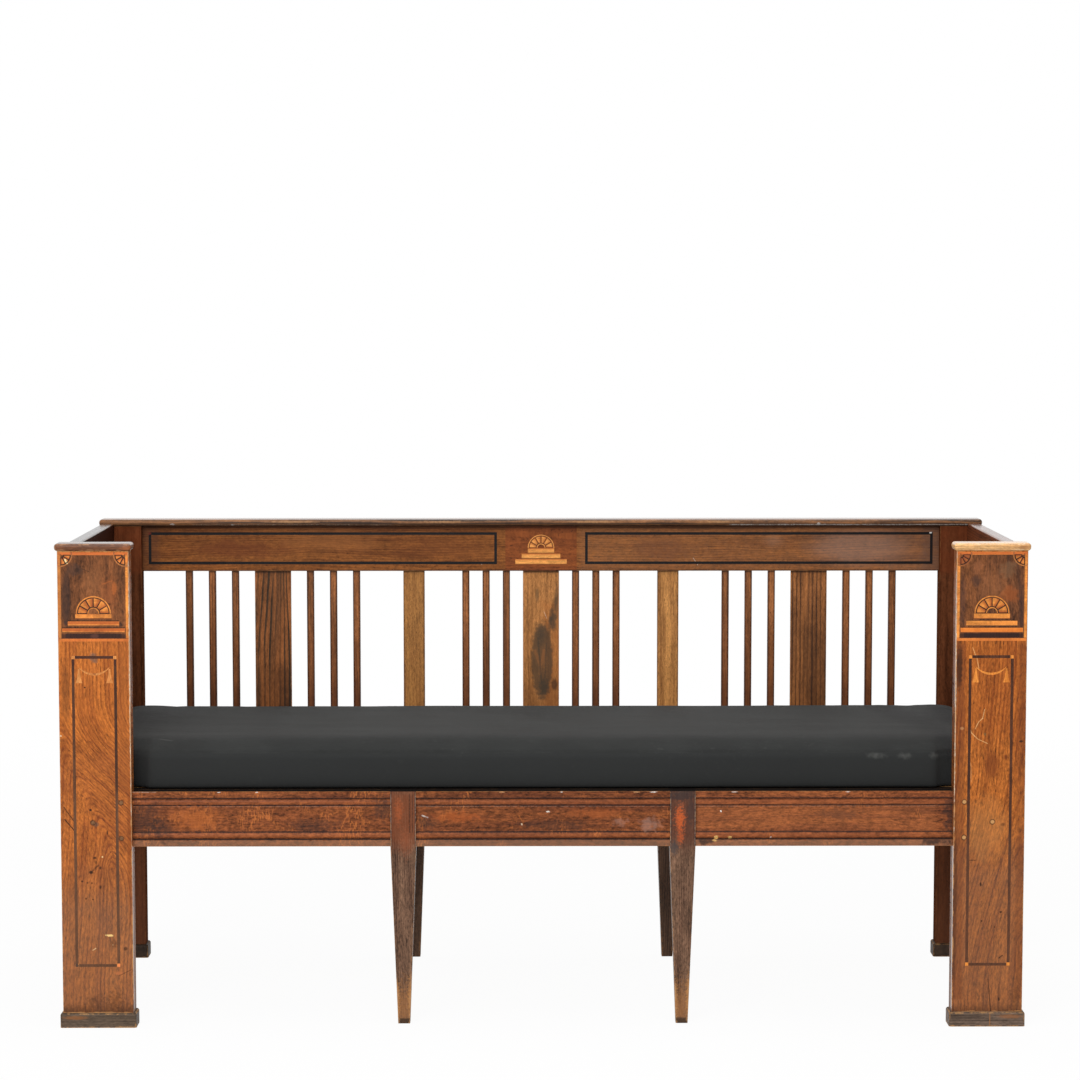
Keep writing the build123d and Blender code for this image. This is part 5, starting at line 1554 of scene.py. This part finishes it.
class SETTLE_OT_cushion(bpy.types.Operator):
    """Make the loose cushion: a boxed cover, stuffed as cloth and then sewn"""
    bl_idname = "settle.cushion"
    bl_label = "Cushion"

    def execute(self, context):
        sizes = context.scene.settle_cushion
        cover = new_object(context, "cushion", cushion_mesh(context))
        remesh = cover.modifiers.new("even", "REMESH")
        remesh.mode = "VOXEL"
        remesh.voxel_size = sizes.voxel
        apply_modifier(context, cover, "even")
        stuff(context, cover)
        smooth = cover.modifiers.new("finer", "SUBSURF")
        smooth.levels = 1
        smooth.render_levels = 1
        apply_modifier(context, cover, "finer")
        sew(context, cover)
        for face in cover.data.polygons:
            face.use_smooth = True
        cover.data.materials.append(cushion_material(context))
        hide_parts("seat_cushion")
        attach(cover, "cushion")
        return {"FINISHED"}


def lamp(context, name, place, aim, size, power):
    data = bpy.data.lights.new(name, "AREA")
    data.shape = "RECTANGLE"
    data.size, data.size_y = size
    data.energy = power
    obj = new_object(context, name, data)
    obj.location = place
    obj.rotation_euler = (Vector(aim) - Vector(place)).to_track_quat("-Z", "Y").to_euler()


def seen_directly(t):
    """One where the camera, a reflection or a clear pane sees a surface, and nothing for lighting."""
    rays = wires(t, t.add("ShaderNodeLightPath").outputs)
    seen = t.math("MAXIMUM", rays.is_camera_ray, rays.is_glossy_ray)
    return t.math("MAXIMUM", seen, rays.is_transmission_ray)


class SETTLE_OT_stage(bpy.types.Operator):
    """Set the camera, the lamps, the pale floor and the white surroundings"""
    bl_idname = "settle.stage"
    bl_label = "Stage"

    def execute(self, context):
        stage = context.scene.settle_stage
        data = bpy.data.cameras.new("camera")
        data.lens = stage.lens
        data.sensor_width = 36.0
        camera = new_object(context, "camera", data)
        camera.location = stage.camera_place
        camera.rotation_euler = stage.camera_turn
        context.scene.camera = camera

        half = stage.floor_size / 2
        mesh = bpy.data.meshes.new("floor")
        mesh.from_pydata([(-half, -half, 0), (half, -half, 0), (half, half, 0), (-half, half, 0)], [],
                         [(0, 1, 2, 3)])
        floor = new_object(context, "floor", mesh)
        material, t, shader, target = new_material("pale_floor")
        place = t.place()
        t.fill(shader, Roughness=0.9, Specular_IOR_Level=0.0,
               Base_Color=t.slope(t.noise(place, scale=3.0), 0.2, 0.8, 0.84, 0.88))
        glow = t.add("ShaderNodeEmission")
        seen = seen_directly(t)
        both = t.add("ShaderNodeMixShader")
        far = t.slope(t.vector("LENGTH", place), 1.2, 4.0, 0.955, 1.0)
        lit = t.run(both, (seen * far, t.wire(shader), t.wire(glow)))
        t.feed(target.inputs["Surface"], lit)
        floor.data.materials.append(material)

        world = bpy.data.worlds.new("white_room")
        world.use_nodes = True
        world.node_tree.nodes.clear()
        w = Tree(world.node_tree)
        sky = w.add("ShaderNodeBackground")
        w.fill(sky, Color=(1.0, 1.0, 1.0, 1.0),
               Strength=w.slope(seen_directly(w), 0.0, 1.0, stage.fill, 1.0))
        w.feed(w.add("ShaderNodeOutputWorld").inputs["Surface"], w.wire(sky))
        context.scene.world = world

        lamp(context, "front_lamp", (-1.5, -4.6, 2.9), (0.1, 0.0, 0.45), (3.4, 2.2), stage.key_watts)
        lamp(context, "top_lamp", (0.3, -0.3, 3.4), (0.0, 0.0, 0.4), (3.0, 1.6), stage.top_watts)
        context.scene.view_settings.view_transform = "Standard"
        return {"FINISHED"}


STEPS = (
    SETTLE_OT_stage, SETTLE_OT_front_posts, SETTLE_OT_caps_and_shoes, SETTLE_OT_post_marquetry,
    SETTLE_OT_pegs, SETTLE_OT_back_frame, SETTLE_OT_uprights, SETTLE_OT_apron, SETTLE_OT_middle_legs,
    SETTLE_OT_arms_and_sides, SETTLE_OT_seat_boards, SETTLE_OT_cushion,
)


class SETTLE_PT_panel(bpy.types.Panel):
    """Lists the settle's steps in the 3D view's sidebar"""
    bl_idname = "SETTLE_PT_panel"
    bl_label = "Box settle"
    bl_space_type = "VIEW_3D"
    bl_region_type = "UI"
    bl_category = "Settle"

    def draw(self, context):
        for step in STEPS:
            self.layout.operator(step.bl_idname)
        for name in GROUPS:
            held = getattr(context.scene, name)
            box = self.layout.box()
            for key in held.__annotations__:
                box.prop(held, key)


GROUPS = {
    "settle_woods": SettleWoods, "settle_grain": SettleGrain, "settle_cushion": SettleCushion,
    "settle_stage": SettleStage,
}
CLASSES = tuple(GROUPS.values()) + STEPS + (SETTLE_PT_panel,)


def register():
    for item in CLASSES:
        bpy.utils.register_class(item)
    for name, kind in GROUPS.items():
        setattr(bpy.types.Scene, name, bpy.props.PointerProperty(type=kind))


def unregister():
    for name in GROUPS:
        delattr(bpy.types.Scene, name)
    for item in reversed(CLASSES):
        bpy.utils.unregister_class(item)


def main():
    register()
    build_groups()
    for step in STEPS:
        area, name = step.bl_idname.split(".")
        getattr(getattr(bpy.ops, area), name)()


if __name__ == "__main__":
    main()
